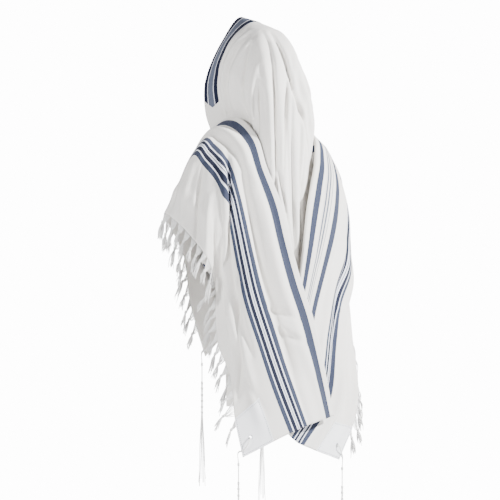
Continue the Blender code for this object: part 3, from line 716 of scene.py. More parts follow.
    def turned_under(self) -> "Panel":
        """Add the rounded fold and the stretch turned under at the inner edge.

        Returns:
            A new panel.
        """
        normal = self.normals()
        edge = self.grid[:, -1]
        along = unit(self.grid[:, -1] - self.grid[:, -2])
        columns = [self.grid]
        acrosses = list(self.acrosses)
        for turn in np.linspace(0, math.pi, FOLD_TURNS)[1:]:
            bend = normal[:, -1] * (math.cos(turn) - 1) + along * math.sin(turn)
            columns.append((edge + bend * CLOTH.fold_radius)[:, None])
            acrosses.append(self.acrosses[-1] + turn * CLOTH.fold_radius)
        for back in np.arange(2 * CLOTH.step, CLOTH.turned_under + CLOTH.step, 2 * CLOTH.step):
            far = np.full(len(self.runs), self.acrosses[-1] - back)
            under = self.at(self.runs, far, self.grid)
            lean = unit(self.at(self.runs, far, normal))
            columns.append((under - lean * 2 * CLOTH.fold_radius)[:, None])
            acrosses.append(self.acrosses[-1] + math.pi * CLOTH.fold_radius + back)
        return Panel(np.concatenate(columns, axis=1), self.runs, np.array(acrosses), self.outward)


def grid_faces(rows: int, columns: int, flipped: bool) -> np.ndarray:
    """List a grid's four-sided faces.

    Args:
        rows: How many rows of points there are.
        columns: How many points a row has.
        flipped: Whether the faces point the other way.

    Returns:
        Four point numbers a face.
    """
    first = (np.arange(rows - 1)[:, None] * columns + np.arange(columns - 1)).ravel()
    faces = np.stack([first, first + 1, first + columns + 1, first + columns], axis=1)
    return faces[:, ::-1] if flipped else faces


def shell_mesh(name: str, panel: Panel, wall: float, uv: np.ndarray) -> bpy.types.Mesh:
    """Make a closed wall of cloth on a panel.

    Args:
        name: The mesh's name.
        panel: The panel through the wall's middle.
        wall: The wall's thickness.
        uv: A place on the flat cloth for each point, in metres.

    Returns:
        The mesh, with the flat places as its UV map.
    """
    rows, columns = panel.grid.shape[:2]
    normal = panel.normals()
    outer = (panel.grid + normal * wall / 2).reshape(-1, 3)
    inner = (panel.grid - normal * wall / 2).reshape(-1, 3)
    count = rows * columns
    front = grid_faces(rows, columns, panel.outward < 0)
    rim = np.concatenate([
        np.arange(columns - 1), np.arange(columns - 1, count - 1, columns),
        np.arange(count - 1, count - columns, -1), np.arange(count - columns, 0, -columns)])
    after = np.roll(rim, -1)
    edge = np.stack([after, rim, rim + count, after + count], axis=1)
    edge = edge[:, ::-1] if panel.outward < 0 else edge
    faces = np.concatenate([front, front[:, ::-1] + count, edge])
    mesh = bpy.data.meshes.new(name)
    mesh.from_pydata(np.concatenate([outer, inner]).tolist(), [], faces.tolist())
    layer = mesh.uv_layers.new(name=CLOTH_UV)
    flat = np.concatenate([uv.reshape(-1, 2)] * 2)
    layer.data.foreach_set("uv", flat[faces.ravel()].ravel())
    mesh.shade_smooth()
    return mesh


def hex_colour(code: str) -> tuple[float, float, float, float]:
    """Turn an sRGB hex colour into a linear one.

    Args:
        code: Six hex digits after a hash.

    Returns:
        Linear red, green, blue and an alpha of one.
    """
    channels = [int(code[k:k + 2], 16) / 255 for k in (1, 3, 5)]
    linear = [c / 12.92 if c <= 0.04045 else ((c + 0.055) / 1.055) ** 2.4 for c in channels]
    return (*linear, 1.0)


@dataclass(frozen=True)
class Stripe:
    """A colour that starts at a place across the cloth, in mm."""

    start: float
    colour: str
    twill: float = 0.0


@dataclass(frozen=True)
class Finish:
    """One real material's colours, its thread and relief in metres, and its gloss."""

    name: str
    stripes: tuple[Stripe, ...]
    roughness: float
    sheen: float
    thread: float
    relief: float
    twill_pitch: float = 0.0026
    ramp_mm: float = 100
    sheen_roughness: float = 0.6
    specular: float = 0.12


@dataclass(frozen=True)
class WeaveLook:
    """How much the twill, the yarn and the soft rumples show on every cloth."""

    twill: float = 0.11
    twill_tint: str = "#C9D0E2"
    yarn_stretch: tuple[float, ...] = (1.0, 0.12, 1.0)
    yarn_scale: float = 700
    yarn_detail: float = 2
    cloud_scale: float = 9
    base_shade: float = 0.90
    yarn_shade: float = 0.10
    cloud_shade: float = 0.05
    yarn_height: float = 0.8
    weave_bump: float = 0.5
    rumple_scale: float = 38
    rumple_detail: float = 3
    rumple_bump: float = 0.35
    rumple_height: float = 0.0022


@dataclass(frozen=True)
class TwistLook:
    """How much the plies and the fuzz show on every thread, with painted shade in the grooves
    between plies.
    """

    fuzz_scale: float = 900
    fuzz_detail: float = 2
    fuzz_height: float = 0.7
    base_shade: float = 0.90
    painted_ply_groove_shade: float = 0.10
    bump: float = 0.5


WEAVE = WeaveLook()
TWIST = TwistLook()
CREAM = "#EEEBE6"
LINE = "#EDF0FA"
MID = "#0D1A38"
NAVY = "#091029"
FINE = "#686F80"
BAND_GREY = "#505667"

# Soft brushed wool. The eye gets a matt cream white with blue stripes in a diagonal twill.
WOOL = Finish(
    "woven_wool",
    (Stripe(0, CREAM), Stripe(149.5, MID, 1.0), Stripe(163.5, LINE), Stripe(167.4, NAVY, 0.2),
     Stripe(177.8, LINE), Stripe(181.7, NAVY), Stripe(184.3, LINE), Stripe(188.2, NAVY, 0.2),
     Stripe(198.6, LINE), Stripe(202.5, MID, 1.0), Stripe(216.5, CREAM), Stripe(291, MID, 1.0),
     Stripe(311, CREAM), Stripe(329.5, FINE), Stripe(332, CREAM), Stripe(337.5, FINE),
     Stripe(340, CREAM), Stripe(345.5, FINE), Stripe(348, CREAM), Stripe(368.5, MID, 1.0),
     Stripe(389.5, CREAM)),
    0.92, 0.12, 0.0009, 0.00018, ramp_mm=500)

# Close matt band weave. The eye gets dark blue edges with white lines round a grey blue centre.
BAND_CLOTH = Finish(
    "woven_band",
    (Stripe(0, NAVY, 0.2), Stripe(17, LINE), Stripe(20.5, NAVY), Stripe(22.5, BAND_GREY, 1.0),
     Stripe(46.5, NAVY), Stripe(48.5, LINE), Stripe(52, NAVY, 0.2)),
    0.85, 0.0, 0.0007, 0.00012, twill_pitch=0.0045, ramp_mm=70)

# Fine plain linen. The eye gets a flatter and cooler white than the wool's.
LINEN = Finish("patch_cloth", (Stripe(0, "#FBFCFF"),), 0.8, 0.1, 0.0007, 0.00010)

# Twisted wool thread. The eye gets a bright soft white with its plies showing, its colour painted
# darker in the grooves between plies as painted shade.
THREAD = Finish("twisted_thread", (Stripe(0, "#F8F7F5"),), 0.9, 0.4, 0.0012, 0.00022)

# Pale grey sewing thread. The eye gets a fine dotted line along each stitched edge; the grey also
# paints the shade along each patch's edge.
SEWING_AND_EDGE_SHADE = Finish("sewing_thread_and_edge_shade", (Stripe(0, "#8D919C"),), 0.9, 0.2, 0.0012, 0.00010)


class MaterialKit:
    """Makes each finish's node material once."""

    def __init__(self) -> None:
        """Start with no materials."""
        self.made: dict[str, bpy.types.Material] = {}

    @staticmethod
    def add(tree: bpy.types.NodeTree, kind: str, links: dict | None = None,
            **settings: object) -> bpy.types.Node:
        """Add one node.

        Args:
            tree: The material's nodes.
            kind: The node's type.
            links: What feeds each input, as a value or another node's output.
            **settings: The node's own settings.

        Returns:
            The node.
        """
        node = tree.nodes.new(kind)
        for name, value in settings.items():
            setattr(node, name, value)
        for slot, source in (links or {}).items():
            if isinstance(source, bpy.types.NodeSocket):
                tree.links.new(source, node.inputs[slot])
            else:
                node.inputs[slot].default_value = source
        return node

    def math(self, tree: bpy.types.NodeTree, operation: str, *values: object
             ) -> bpy.types.NodeSocket:
        """Add a Math node.

        Args:
            tree: The material's nodes.
            operation: What it does.
            *values: Its inputs, in order.

        Returns:
            Its output.
        """
        node = self.add(tree, "ShaderNodeMath", dict(enumerate(values)), operation=operation)
        return node.outputs[0]

    def wave(self, tree: bpy.types.NodeTree, place: object, pitch: float) -> object:
        """Add an even wave along one direction.

        Args:
            tree: The material's nodes.
            place: The distance it runs along, in metres.
            pitch: Its length.

        Returns:
            An output between nought and one.
        """
        turn = self.math(tree, "SINE", self.math(tree, "MULTIPLY", place, 2 * math.pi / pitch))
        return self.math(tree, "MULTIPLY_ADD", turn, 0.5, 0.5)

    def blank(self, finish: Finish) -> bpy.types.Material:
        """Start a finish's material and set how light lies on it.

        Args:
            finish: The finish.

        Returns:
            The material, still in one colour.
        """
        material = bpy.data.materials.new(finish.name)
        material.use_nodes = True
        shader = material.node_tree.nodes["Principled BSDF"]
        shader.inputs["Roughness"].default_value = finish.roughness
        shader.inputs["Sheen Weight"].default_value = finish.sheen
        shader.inputs["Sheen Roughness"].default_value = finish.sheen_roughness
        shader.inputs["Specular IOR Level"].default_value = finish.specular
        self.made[finish.name] = material
        return material

    def cloth(self, finish: Finish) -> bpy.types.Material:
        """Make a woven material that follows the flat cloth.

        Args:
            finish: Its colours, thread and gloss.

        Returns:
            The material.
        """
        if finish.name in self.made:
            return self.made[finish.name]
        material = self.blank(finish)
        tree = material.node_tree
        shader = tree.nodes["Principled BSDF"]
        flat = self.add(tree, "ShaderNodeUVMap", uv_map=CLOTH_UV).outputs["UV"]
        parts = self.add(tree, "ShaderNodeSeparateXYZ", {0: flat})
        across, along = parts.outputs[0], parts.outputs[1]
        place = self.math(tree, "MULTIPLY", across, 1000 / finish.ramp_mm)
        ramp = self.add(tree, "ShaderNodeValToRGB", {0: place})
        self.fill_ramp(ramp.color_ramp, finish)
        hatch = self.wave(tree, self.math(tree, "ADD", across, along), finish.twill_pitch)
        strength = self.math(tree, "MULTIPLY", hatch, ramp.outputs["Alpha"])
        strength = self.math(tree, "MULTIPLY", strength, WEAVE.twill)
        twill = self.add(tree, "ShaderNodeMix", {
            0: strength, 6: ramp.outputs["Color"], 7: hex_colour(WEAVE.twill_tint)},
            data_type="RGBA")
        wide = self.add(tree, "ShaderNodeMapping", {0: flat, 3: WEAVE.yarn_stretch}).outputs[0]
        yarn = self.noise(tree, wide, WEAVE.yarn_scale, WEAVE.yarn_detail)
        cloud = self.noise(tree, flat, WEAVE.cloud_scale, WEAVE.yarn_detail)
        shade = self.math(tree, "MULTIPLY_ADD", yarn, WEAVE.yarn_shade, WEAVE.base_shade)
        shade = self.math(tree, "MULTIPLY_ADD", cloud, WEAVE.cloud_shade, shade)
        hue = self.add(tree, "ShaderNodeHueSaturation", {
            "Value": shade, "Color": twill.outputs[2]})
        tree.links.new(hue.outputs[0], shader.inputs["Base Color"])
        weave = self.math(tree, "MULTIPLY", self.wave(tree, across, finish.thread),
                          self.wave(tree, along, finish.thread))
        rough = self.math(tree, "MULTIPLY_ADD", yarn, WEAVE.yarn_height, weave)
        fine = self.add(tree, "ShaderNodeBump", {
            "Strength": WEAVE.weave_bump, "Distance": finish.relief, "Height": rough})
        rumple = self.noise(tree, flat, WEAVE.rumple_scale, WEAVE.rumple_detail)
        bump = self.add(tree, "ShaderNodeBump", {
            "Strength": WEAVE.rumple_bump, "Distance": WEAVE.rumple_height, "Height": rumple,
            "Normal": fine.outputs[0]})
        tree.links.new(bump.outputs[0], shader.inputs["Normal"])
        return material

    def thread(self, finish: Finish) -> bpy.types.Material:
        """Make a twisted thread material.

        Args:
            finish: Its colour, ply and gloss.

        Returns:
            The material.
        """
        if finish.name in self.made:
            return self.made[finish.name]
        material = self.blank(finish)
        tree = material.node_tree
        shader = tree.nodes["Principled BSDF"]
        where = self.add(tree, "ShaderNodeTexCoord").outputs["Object"]
        parts = self.add(tree, "ShaderNodeSeparateXYZ", {0: where})
        level = self.math(tree, "ADD", parts.outputs[0], parts.outputs[1])
        slant = self.math(tree, "ADD", parts.outputs[2], level)
        ply = self.wave(tree, slant, finish.thread)
        fuzz = self.noise(tree, where, TWIST.fuzz_scale, TWIST.fuzz_detail)
        height = self.math(tree, "MULTIPLY_ADD", fuzz, TWIST.fuzz_height, ply)
        bump = self.add(tree, "ShaderNodeBump", {
            "Strength": TWIST.bump, "Distance": finish.relief, "Height": height})
        # Painted shade: the colour darkens with the ply wave, where the bump puts the grooves
        shade = self.math(tree, "MULTIPLY_ADD", ply, TWIST.painted_ply_groove_shade, TWIST.base_shade)
        hue = self.add(tree, "ShaderNodeHueSaturation", {
            "Value": shade, "Color": hex_colour(finish.stripes[0].colour)})
        tree.links.new(hue.outputs[0], shader.inputs["Base Color"])
        tree.links.new(bump.outputs[0], shader.inputs["Normal"])
        return material

    def noise(self, tree: bpy.types.NodeTree, place: bpy.types.NodeSocket, scale: float,
              detail: float) -> bpy.types.NodeSocket:
        """Add a soft uneven pattern.

        Args:
            tree: The material's nodes.
            place: The place it is read at.
            scale: How many of its spots lie in a metre.
            detail: How many finer layers it has.

        Returns:
            Its output.
        """
        return self.add(tree, "ShaderNodeTexNoise", {
            "Vector": place, "Scale": scale, "Detail": detail}).outputs[0]

    @staticmethod
    def fill_ramp(ramp: bpy.types.ColorRamp, finish: Finish) -> None:
        """Put a finish's stripes on a colour ramp, the twill's strength in its alpha.

        Args:
            ramp: The colour ramp.
            finish: The finish with the stripes.
        """
        ramp.interpolation = "CONSTANT"
        ramp.elements.remove(ramp.elements[-1])
        for k, stripe in enumerate(finish.stripes):
            spot = ramp.elements[0] if k == 0 else ramp.elements.new(stripe.start / finish.ramp_mm)
            spot.color = (*hex_colour(stripe.colour)[:3], stripe.twill)


def in_scene(name: str, data: bpy.types.ID) -> bpy.types.Object:
    """Put a mesh, a lamp or a camera in the scene.

    Args:
        name: The object's name.
        data: What it shows.

    Returns:
        The object.
    """
    thing = bpy.data.objects.new(name, data)
    bpy.context.scene.collection.objects.link(thing)
    return thing


def place_piece(mesh: bpy.types.Mesh, material: bpy.types.Material, node: str
                ) -> bpy.types.Object:
    """Put a finished mesh in the scene in place of its frame node.

    Args:
        mesh: The mesh, with its place in it.
        material: Its first material.
        node: The frame node it stands for.

    Returns:
        The piece.
    """
    piece = in_scene(mesh.name, mesh)
    mesh.materials.append(material)
    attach(piece, "root")
    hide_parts(node)
    return piece


def choose(*things: bpy.types.Object) -> None:
    """Select only these objects, or none, and make the last one active.

    Args:
        *things: The objects.
    """
    for thing in bpy.context.selected_objects:
        thing.select_set(False)
    for thing in things:
        thing.select_set(True)
    bpy.context.view_layer.objects.active = things[-1] if things else None


def threads_mesh(name: str, strands: list[Strand], sides: int) -> bpy.types.Mesh:
    """Turn routes into one mesh of round threads.

    Args:
        name: The mesh's name.
        strands: The threads.
        sides: The bevel's resolution round a thread.

    Returns:
        The mesh.
    """
    choose()
    bpy.ops.curve.primitive_bezier_curve_add()
    thing = bpy.context.active_object
    thing.name = name
    curve = thing.data
    curve.splines.clear()
    curve.dimensions = "3D"
    curve.bevel_depth = 1.0
    curve.bevel_resolution = sides
    curve.use_fill_caps = True
    for route, radii in strands:
        line = curve.splines.new("POLY")
        line.points.add(len(route) - 1)
        places = np.concatenate([route, np.ones((len(route), 1))], axis=1)
        line.points.foreach_set("co", places.ravel())
        line.points.foreach_set("radius", np.asarray(radii, float))
    bpy.ops.object.convert(target="MESH")
    mesh = bpy.context.active_object.data
    bpy.ops.object.mode_set(mode="EDIT")
    bpy.ops.mesh.select_all(action="SELECT")
    bpy.ops.mesh.remove_doubles(threshold=MERGED)
    bpy.ops.mesh.normals_make_consistent(inside=False)
    bpy.ops.object.mode_set(mode="OBJECT")
    bpy.data.objects.remove(bpy.context.active_object)
    mesh.name = name
    mesh.shade_smooth()
    return mesh


def rounded(corners: list[np.ndarray], count: int) -> np.ndarray:
    """Run a smooth route through a few points.

    Args:
        corners: The points.
        count: How many points the route gets.

    Returns:
        The route.
    """
    corners = np.array(corners)
    reach = np.concatenate([[0], np.cumsum(np.linalg.norm(np.diff(corners, axis=0), axis=1))])
    return spline(reach, corners, np.linspace(0, reach[-1], count))


def even(route: np.ndarray, radius: float) -> Strand:
    """Give a route the same radius all along.

    Args:
        route: The thread's route.
        radius: Its radius.

    Returns:
        The thread.
    """
    return route, np.full(len(route), radius)


def square_to(way: np.ndarray) -> tuple[np.ndarray, np.ndarray]:
    """Find two directions that are square to a way and to each other.

    Args:
        way: The way, with unit length.

    Returns:
        The two directions.
    """
    side = unit(np.cross(way, ASLANT))
    return side, np.cross(way, side)


def coil(start: np.ndarray, end: np.ndarray, radius: float, pitch: float, per_turn: int = 8
         ) -> np.ndarray:
    """Wind a route round a straight line.

    Args:
        start: One end of the line.
        end: The other end.
        radius: How far from the line it runs.
        pitch: How far it climbs a turn.
        per_turn: How many points a turn has.

    Returns:
        The route.
    """
    axis = end - start
    length = np.linalg.norm(axis)
    side, over = square_to(axis / length)
    part = np.linspace(0, 1, int(length / pitch * per_turn) + 1)[:, None]
    turn = 2 * math.pi * length / pitch * part
    return start + axis * part + radius * (side * np.cos(turn) + over * np.sin(turn))


def cloth_steps(start: float, end: float) -> np.ndarray:
    """Space lines of points evenly over a stretch of cloth.

    Args:
        start: Where it starts.
        end: Where it ends.

    Returns:
        The places of the lines.
    """
    return np.linspace(start, end, round((end - start) / CLOTH.step) + 1)


class ClothBody:
    """The three panels of the one folded cloth."""

    def __init__(self, kit: MaterialKit) -> None:
        """Shape the panels.

        Args:
            kit: Makes the materials.
        """
        self.kit = kit
        runs = cloth_steps(0, CLOTH.depth)
        self.left = Panel.loft(
            tuple((row.run, (row.edge, row.band, row.fold)) for row in LEFT_ROWS),
            (0, CLOTH.band_centre, CLOTH.left_shown), runs, cloth_steps(0, CLOTH.left_shown),
            -1).raised(LEFT_FOLDS).raised(LEFT_CREASES)
        right = Panel.loft(
            tuple((row.run, (row.edge, row.band, row.stripe, row.fold)) for row in RIGHT_ROWS),
            (0, CLOTH.band_centre, CLOTH.stripe_centre, CLOTH.right_shown), runs,
            cloth_steps(0, CLOTH.right_shown), 1).raised(RIGHT_FOLDS).raised(RIGHT_CREASES)
        self.right = right.tucked(self.left)
        table = tuple(
            (a.run, (b.end, b.neck, b.side, b.temple, a.middle, a.temple, a.side, a.neck, a.end))
            for a, b in zip(BACK_LEFT, BACK_RIGHT))
        knots = tuple(-a for a in BACK_ACROSS[:0:-1]) + BACK_ACROSS
        back = Panel.loft(table, knots, cloth_steps(0, CLOTH.back_length),
                          cloth_steps(-CLOTH.back_half, CLOTH.back_half), 1)
        back = back.raised(BACK_FOLDS).raised(BACK_CREASES)
        self.back = back.tucked(self.left).tucked(self.right)

    def build(self) -> dict[str, bpy.types.Object]:
        """Make the panels' pieces.

        Returns:
            The pieces by name.
        """
        wool = self.kit.cloth(WOOL)
        pieces = {}
        for name, panel, offset in (("cloth_hood_back", self.back, PAST_STRIPES),
                                    ("cloth_left_drape", self.left.turned_under(), 0.0),
                                    ("cloth_right_drape", self.right.turned_under(), 0.0)):
            flat = np.stack(np.meshgrid(panel.acrosses + offset, panel.runs), axis=2)
            mesh = shell_mesh("visual_" + name, panel, CLOTH.wall, flat)
            pieces[name] = place_piece(mesh, wool, name)
        return pieces


class Atarah:
    """The woven neckband along the hood's face edge."""

    def __init__(self, kit: MaterialKit, back: Panel) -> None:
        """Keep what the band is made from.

        Args:
            kit: Makes the materials.
            back: The hood and back panel.
        """
        self.kit = kit
        self.back = back

    def build(self) -> bpy.types.Object:
        """Make the band, with its two ends cut to a shallow point.

        Returns:
            The band.
        """
        run = np.linspace(BAND.margin, BAND.margin + BAND.width, BAND.points_across)
        part = np.linspace(-1, 1, BAND.points_along)
        from_middle = np.abs(run - run.mean()) / (BAND.width / 2)
        half = BAND.length / 2 - BAND.point * from_middle
        across = part[None, :] * half[:, None]
        runs = np.repeat(run[:, None], len(part), axis=1)
        lift = SEAM + BAND.wall / 2
        grid = self.back.at(runs, across, self.back.grid)
        grid = grid + self.back.at(runs, across, self.back.normals()) * lift
        panel = Panel(grid, run, part, 1)
        flat = np.stack([runs - BAND.margin, across], axis=2)
        mesh = shell_mesh("visual_atarah", panel, BAND.wall, flat)
        return place_piece(mesh, self.kit.cloth(BAND_CLOTH), "atarah")


class Corner:
    """One corner of a drape: its patch, its eyelet and its tzitzit."""

    def __init__(self, kit: MaterialKit, side: Side, end: End, panel: Panel) -> None:
        """Find the corner's places on its drape.

        Args:
            kit: Makes the materials.
            side: The drape's side.
            end: The drape's end.
            panel: The drape's panel.
        """
        self.kit = kit
        self.name = side.value + "_" + end.value
        self.panel = panel
        self.normals = panel.normals()
        self.front = end is End.FRONT
        run = PATCH.eyelet_in if self.front else CLOTH.depth - PATCH.eyelet_in
        self.lean = self.read(run, PATCH.eyelet_in, self.normals)
        self.eyelet = self.read(run, PATCH.eyelet_in, panel.grid)
        beside = self.read(run, 0, panel.grid)
        hem = self.read(0.0 if self.front else CLOTH.depth, 0, panel.grid)
        self.edge = beside * TZITZIT.edge_share + hem * (1 - TZITZIT.edge_share)
        row = int(np.argmin(np.abs(panel.runs - run)))
        self.out = panel.past_edge()[row]

    def read(self, run: float, across: float, values: np.ndarray) -> np.ndarray:
        """Read one place on the drape.

        Args:
            run: How far along the fringed edge.
            across: How far in from it.
            values: A value at each of the panel's points.

        Returns:
            The value there.
        """
        return self.panel.at(np.array([run]), np.array([across]), values)[0]

    def laid(self, across: np.ndarray, run: np.ndarray, lift: object) -> np.ndarray:
        """Lay a line on the drape.

        Args:
            across: How far in from the fringed edge each point lies.
            run: How far from the corner along that edge each point lies.
            lift: How high over the cloth's middle it lies, once or at each point.

        Returns:
            The line's points.
        """
        run = run if self.front else CLOTH.depth - run
        return (self.panel.at(run, across, self.panel.grid)
                + self.panel.at(run, across, self.normals) * lift)

    def stitches(self) -> list[Strand]:
        """Lay a row of short stitches just inside the patch's edges.

        Returns:
            The stitches.
        """
        near = PATCH.stitch_in
        far = PATCH.side - PATCH.stitch_in
        lift = SEAM + PATCH.wall + np.array(PATCH.stitch_arch)[:, None] * PATCH.thread_radius
        threads = []
        for start, way in (((near, near), (1, 0)), ((far, near), (0, 1)),
                           ((near, far), (1, 0)), ((near, near), (0, 1))):
            for k in range(int((far - near) / PATCH.stitch_pitch)):
                part = (k + np.array(PATCH.stitch_parts)) * PATCH.stitch_pitch
                route = self.laid(start[0] + way[0] * part, start[1] + way[1] * part, lift)
                threads.append(even(route, PATCH.thread_radius))
        return threads

    def folded_edge(self) -> list[Strand]:
        """Lay the thick folded edge round the patch.

        Returns:
            The edge's four sides.
        """
        near = PATCH.edge_in
        far = PATCH.side - PATCH.edge_in
        line = np.linspace(near, far, PATCH.edge_points)
        still = np.ones(PATCH.edge_points)
        lift = SEAM + PATCH.wall * PATCH.edge_share_of_wall
        return [even(self.laid(across, run, lift), PATCH.edge_radius)
                for across, run in ((line, still * near), (still * far, line),
                                    (line, still * far), (still * near, line))]

    def eyelet_rim(self) -> list[Strand]:
        """Wind the worked rim round the eyelet.

        Returns:
            The rim.
        """
        side, over = square_to(self.lean)
        turns = np.linspace(0, 2 * math.pi, PATCH.rim_windings * PATCH.rim_points + 1)[:, None]
        winding = turns * PATCH.rim_windings
        radius = PATCH.eyelet_radius + PATCH.rim_out + PATCH.rim_swing * np.cos(winding)
        height = SEAM + PATCH.wall + PATCH.rim_lift + PATCH.rim_rise * np.sin(winding)
        ring = self.eyelet + radius * (side * np.cos(turns) + over * np.sin(turns))
        return [even(ring + self.lean * height, PATCH.rim_thread)]

    def build_patch(self) -> bpy.types.Object:
        """Make the patch with its stitching and eyelet rim.

        Returns:
            The patch.
        """
        steps = round(PATCH.side / CLOTH.step) + 1
        rows = slice(0, steps) if self.front else slice(-steps, None)
        lift = SEAM + PATCH.wall / 2
        part = self.panel.grid[rows, :steps] + self.normals[rows, :steps] * lift
        patch = Panel(part, self.panel.runs[rows], self.panel.acrosses[:steps], self.panel.outward)
        flat = np.stack(np.meshgrid(patch.acrosses, patch.runs), axis=2)
        mesh = shell_mesh("visual_patch_" + self.name, patch, PATCH.wall, flat)
        piece = place_piece(mesh, self.kit.cloth(LINEN), "patch_" + self.name)
        self.punch(piece)
        sewing = threads_mesh("sewing", self.stitches() + self.eyelet_rim(), 0)
        # The stitching's grey is partly painted shade along the patch edge
        sewing.materials.append(self.kit.thread(SEWING_AND_EDGE_SHADE))
        edge = threads_mesh("edge", self.folded_edge(), 1)
        edge.materials.append(self.kit.cloth(LINEN))
        choose(in_scene("sewing", sewing), in_scene("edge", edge), piece)
        bpy.ops.object.join()
        return piece

    def punch(self, piece: bpy.types.Object) -> None:
        """Cut the eyelet through a piece.

        Args:
            piece: The piece to cut.
        """
        choose()
        turn = Vector(self.lean).to_track_quat("Z", "Y").to_euler()
        bpy.ops.mesh.primitive_cylinder_add(
            vertices=PATCH.punch_sides, radius=PATCH.eyelet_radius, depth=PATCH.punch_depth,
            location=self.eyelet, rotation=turn)
        tool = bpy.context.active_object
        cut = piece.modifiers.new("eyelet", "BOOLEAN")
        cut.operation = "DIFFERENCE"
        cut.solver = "EXACT"
        cut.object = tool
        choose(piece)
        bpy.ops.object.modifier_apply(modifier=cut.name)
        bpy.data.objects.remove(tool)

    def build_tzitzit(self) -> bpy.types.Object:
        """Make the knotted thread: its loop, knots, windings and loose strands.

        Returns:
            The tzitzit.
        """
        knot = self.edge + self.out * TZITZIT.knot_past_edge + DOWN * TZITZIT.knot_below
        clear = self.edge + self.out * TZITZIT.past_edge
        over = self.lean * TZITZIT.loop_over
        under = self.lean * TZITZIT.loop_under
        way = np.array([knot, clear + over / 2, self.edge + over, self.eyelet + over, self.eyelet,
                        self.eyelet - under, self.edge - under, clear - under / 2,
                        knot + self.out * TZITZIT.loop_end_out])
        aside = unit(np.cross(self.out, self.lean)) * TZITZIT.loop_spacing
        middle = (TZITZIT.loop_threads - 1) / 2
        strands = [even(rounded(way + aside * (k - middle), TZITZIT.loop_points), TZITZIT.thread)
                   for k in range(TZITZIT.loop_threads)]
        strands += self.cord(knot)
        mesh = threads_mesh("visual_tzitzit_" + self.name, strands, 1)
        return place_piece(mesh, self.kit.thread(THREAD), "tzitzit_" + self.name)

    def cord(self, knot: np.ndarray) -> list[Strand]:
        """Lay the hanging part below the loop.

        Args:
            knot: Where it starts.

        Returns:
            Its threads: the thin stretch, the knots, the windings and the loose strands.
        """
        draw = np.random.default_rng(len(self.name))
        foot = knot + DOWN * TZITZIT.thin
        low = foot + DOWN * TZITZIT.wound
        strands = []
        part = np.linspace(0, 1, TZITZIT.thin_points)
        for k in range(TZITZIT.thin_threads):
            turn = 2 * math.pi * k / TZITZIT.thin_threads
            angle = turn + part * TZITZIT.thin_half_turns * math.pi
            swirl = np.stack([np.cos(angle), np.sin(angle), 0 * angle], axis=1)
            route = knot + (foot - knot) * part[:, None] + swirl * TZITZIT.thin_radius
            strands.append(even(route, TZITZIT.thread))
        for place in (knot, knot + DOWN * TZITZIT.upper_knots_apart,
                      foot, foot + DOWN * TZITZIT.lower_knots_apart):
            ring = coil(place, place + DOWN * TZITZIT.knot_height, TZITZIT.knot_radius,
                        TZITZIT.knot_pitch)
            strands.append(even(ring, TZITZIT.knot_thread))
        strands.append(even(coil(foot, low, TZITZIT.core, TZITZIT.pitch), TZITZIT.wound_thread))
        strands.append(even(np.array([foot, low]), TZITZIT.core))
        for share in TZITZIT.ridges:
            place = foot + (low - foot) * share
            ring = coil(place, place + DOWN * TZITZIT.ridge_height, TZITZIT.ridge_radius,
                        TZITZIT.ridge_pitch)
            strands.append(even(ring, TZITZIT.ridge_thread))
        part = np.linspace(0, 1, TZITZIT.loose_points)[:, None]
        for k in range(TZITZIT.strands):
            turn = 2 * math.pi * (k + 0.5) / TZITZIT.strands
            side = np.array((math.cos(turn), math.sin(turn), 0))
            length = TZITZIT.loose * (1 - TZITZIT.loose_shorter * (k % 3))
            bend = part * (TZITZIT.bend_least + TZITZIT.bend_more * draw.random())
            sway = np.sin(bend + draw.random() * TZITZIT.bend_start) * TZITZIT.loose_sway * part
            out = TZITZIT.loose_start + part * TZITZIT.loose_spread + sway
            strands.append(even(low + side * out + DOWN * length * part, TZITZIT.thread))
        return strands


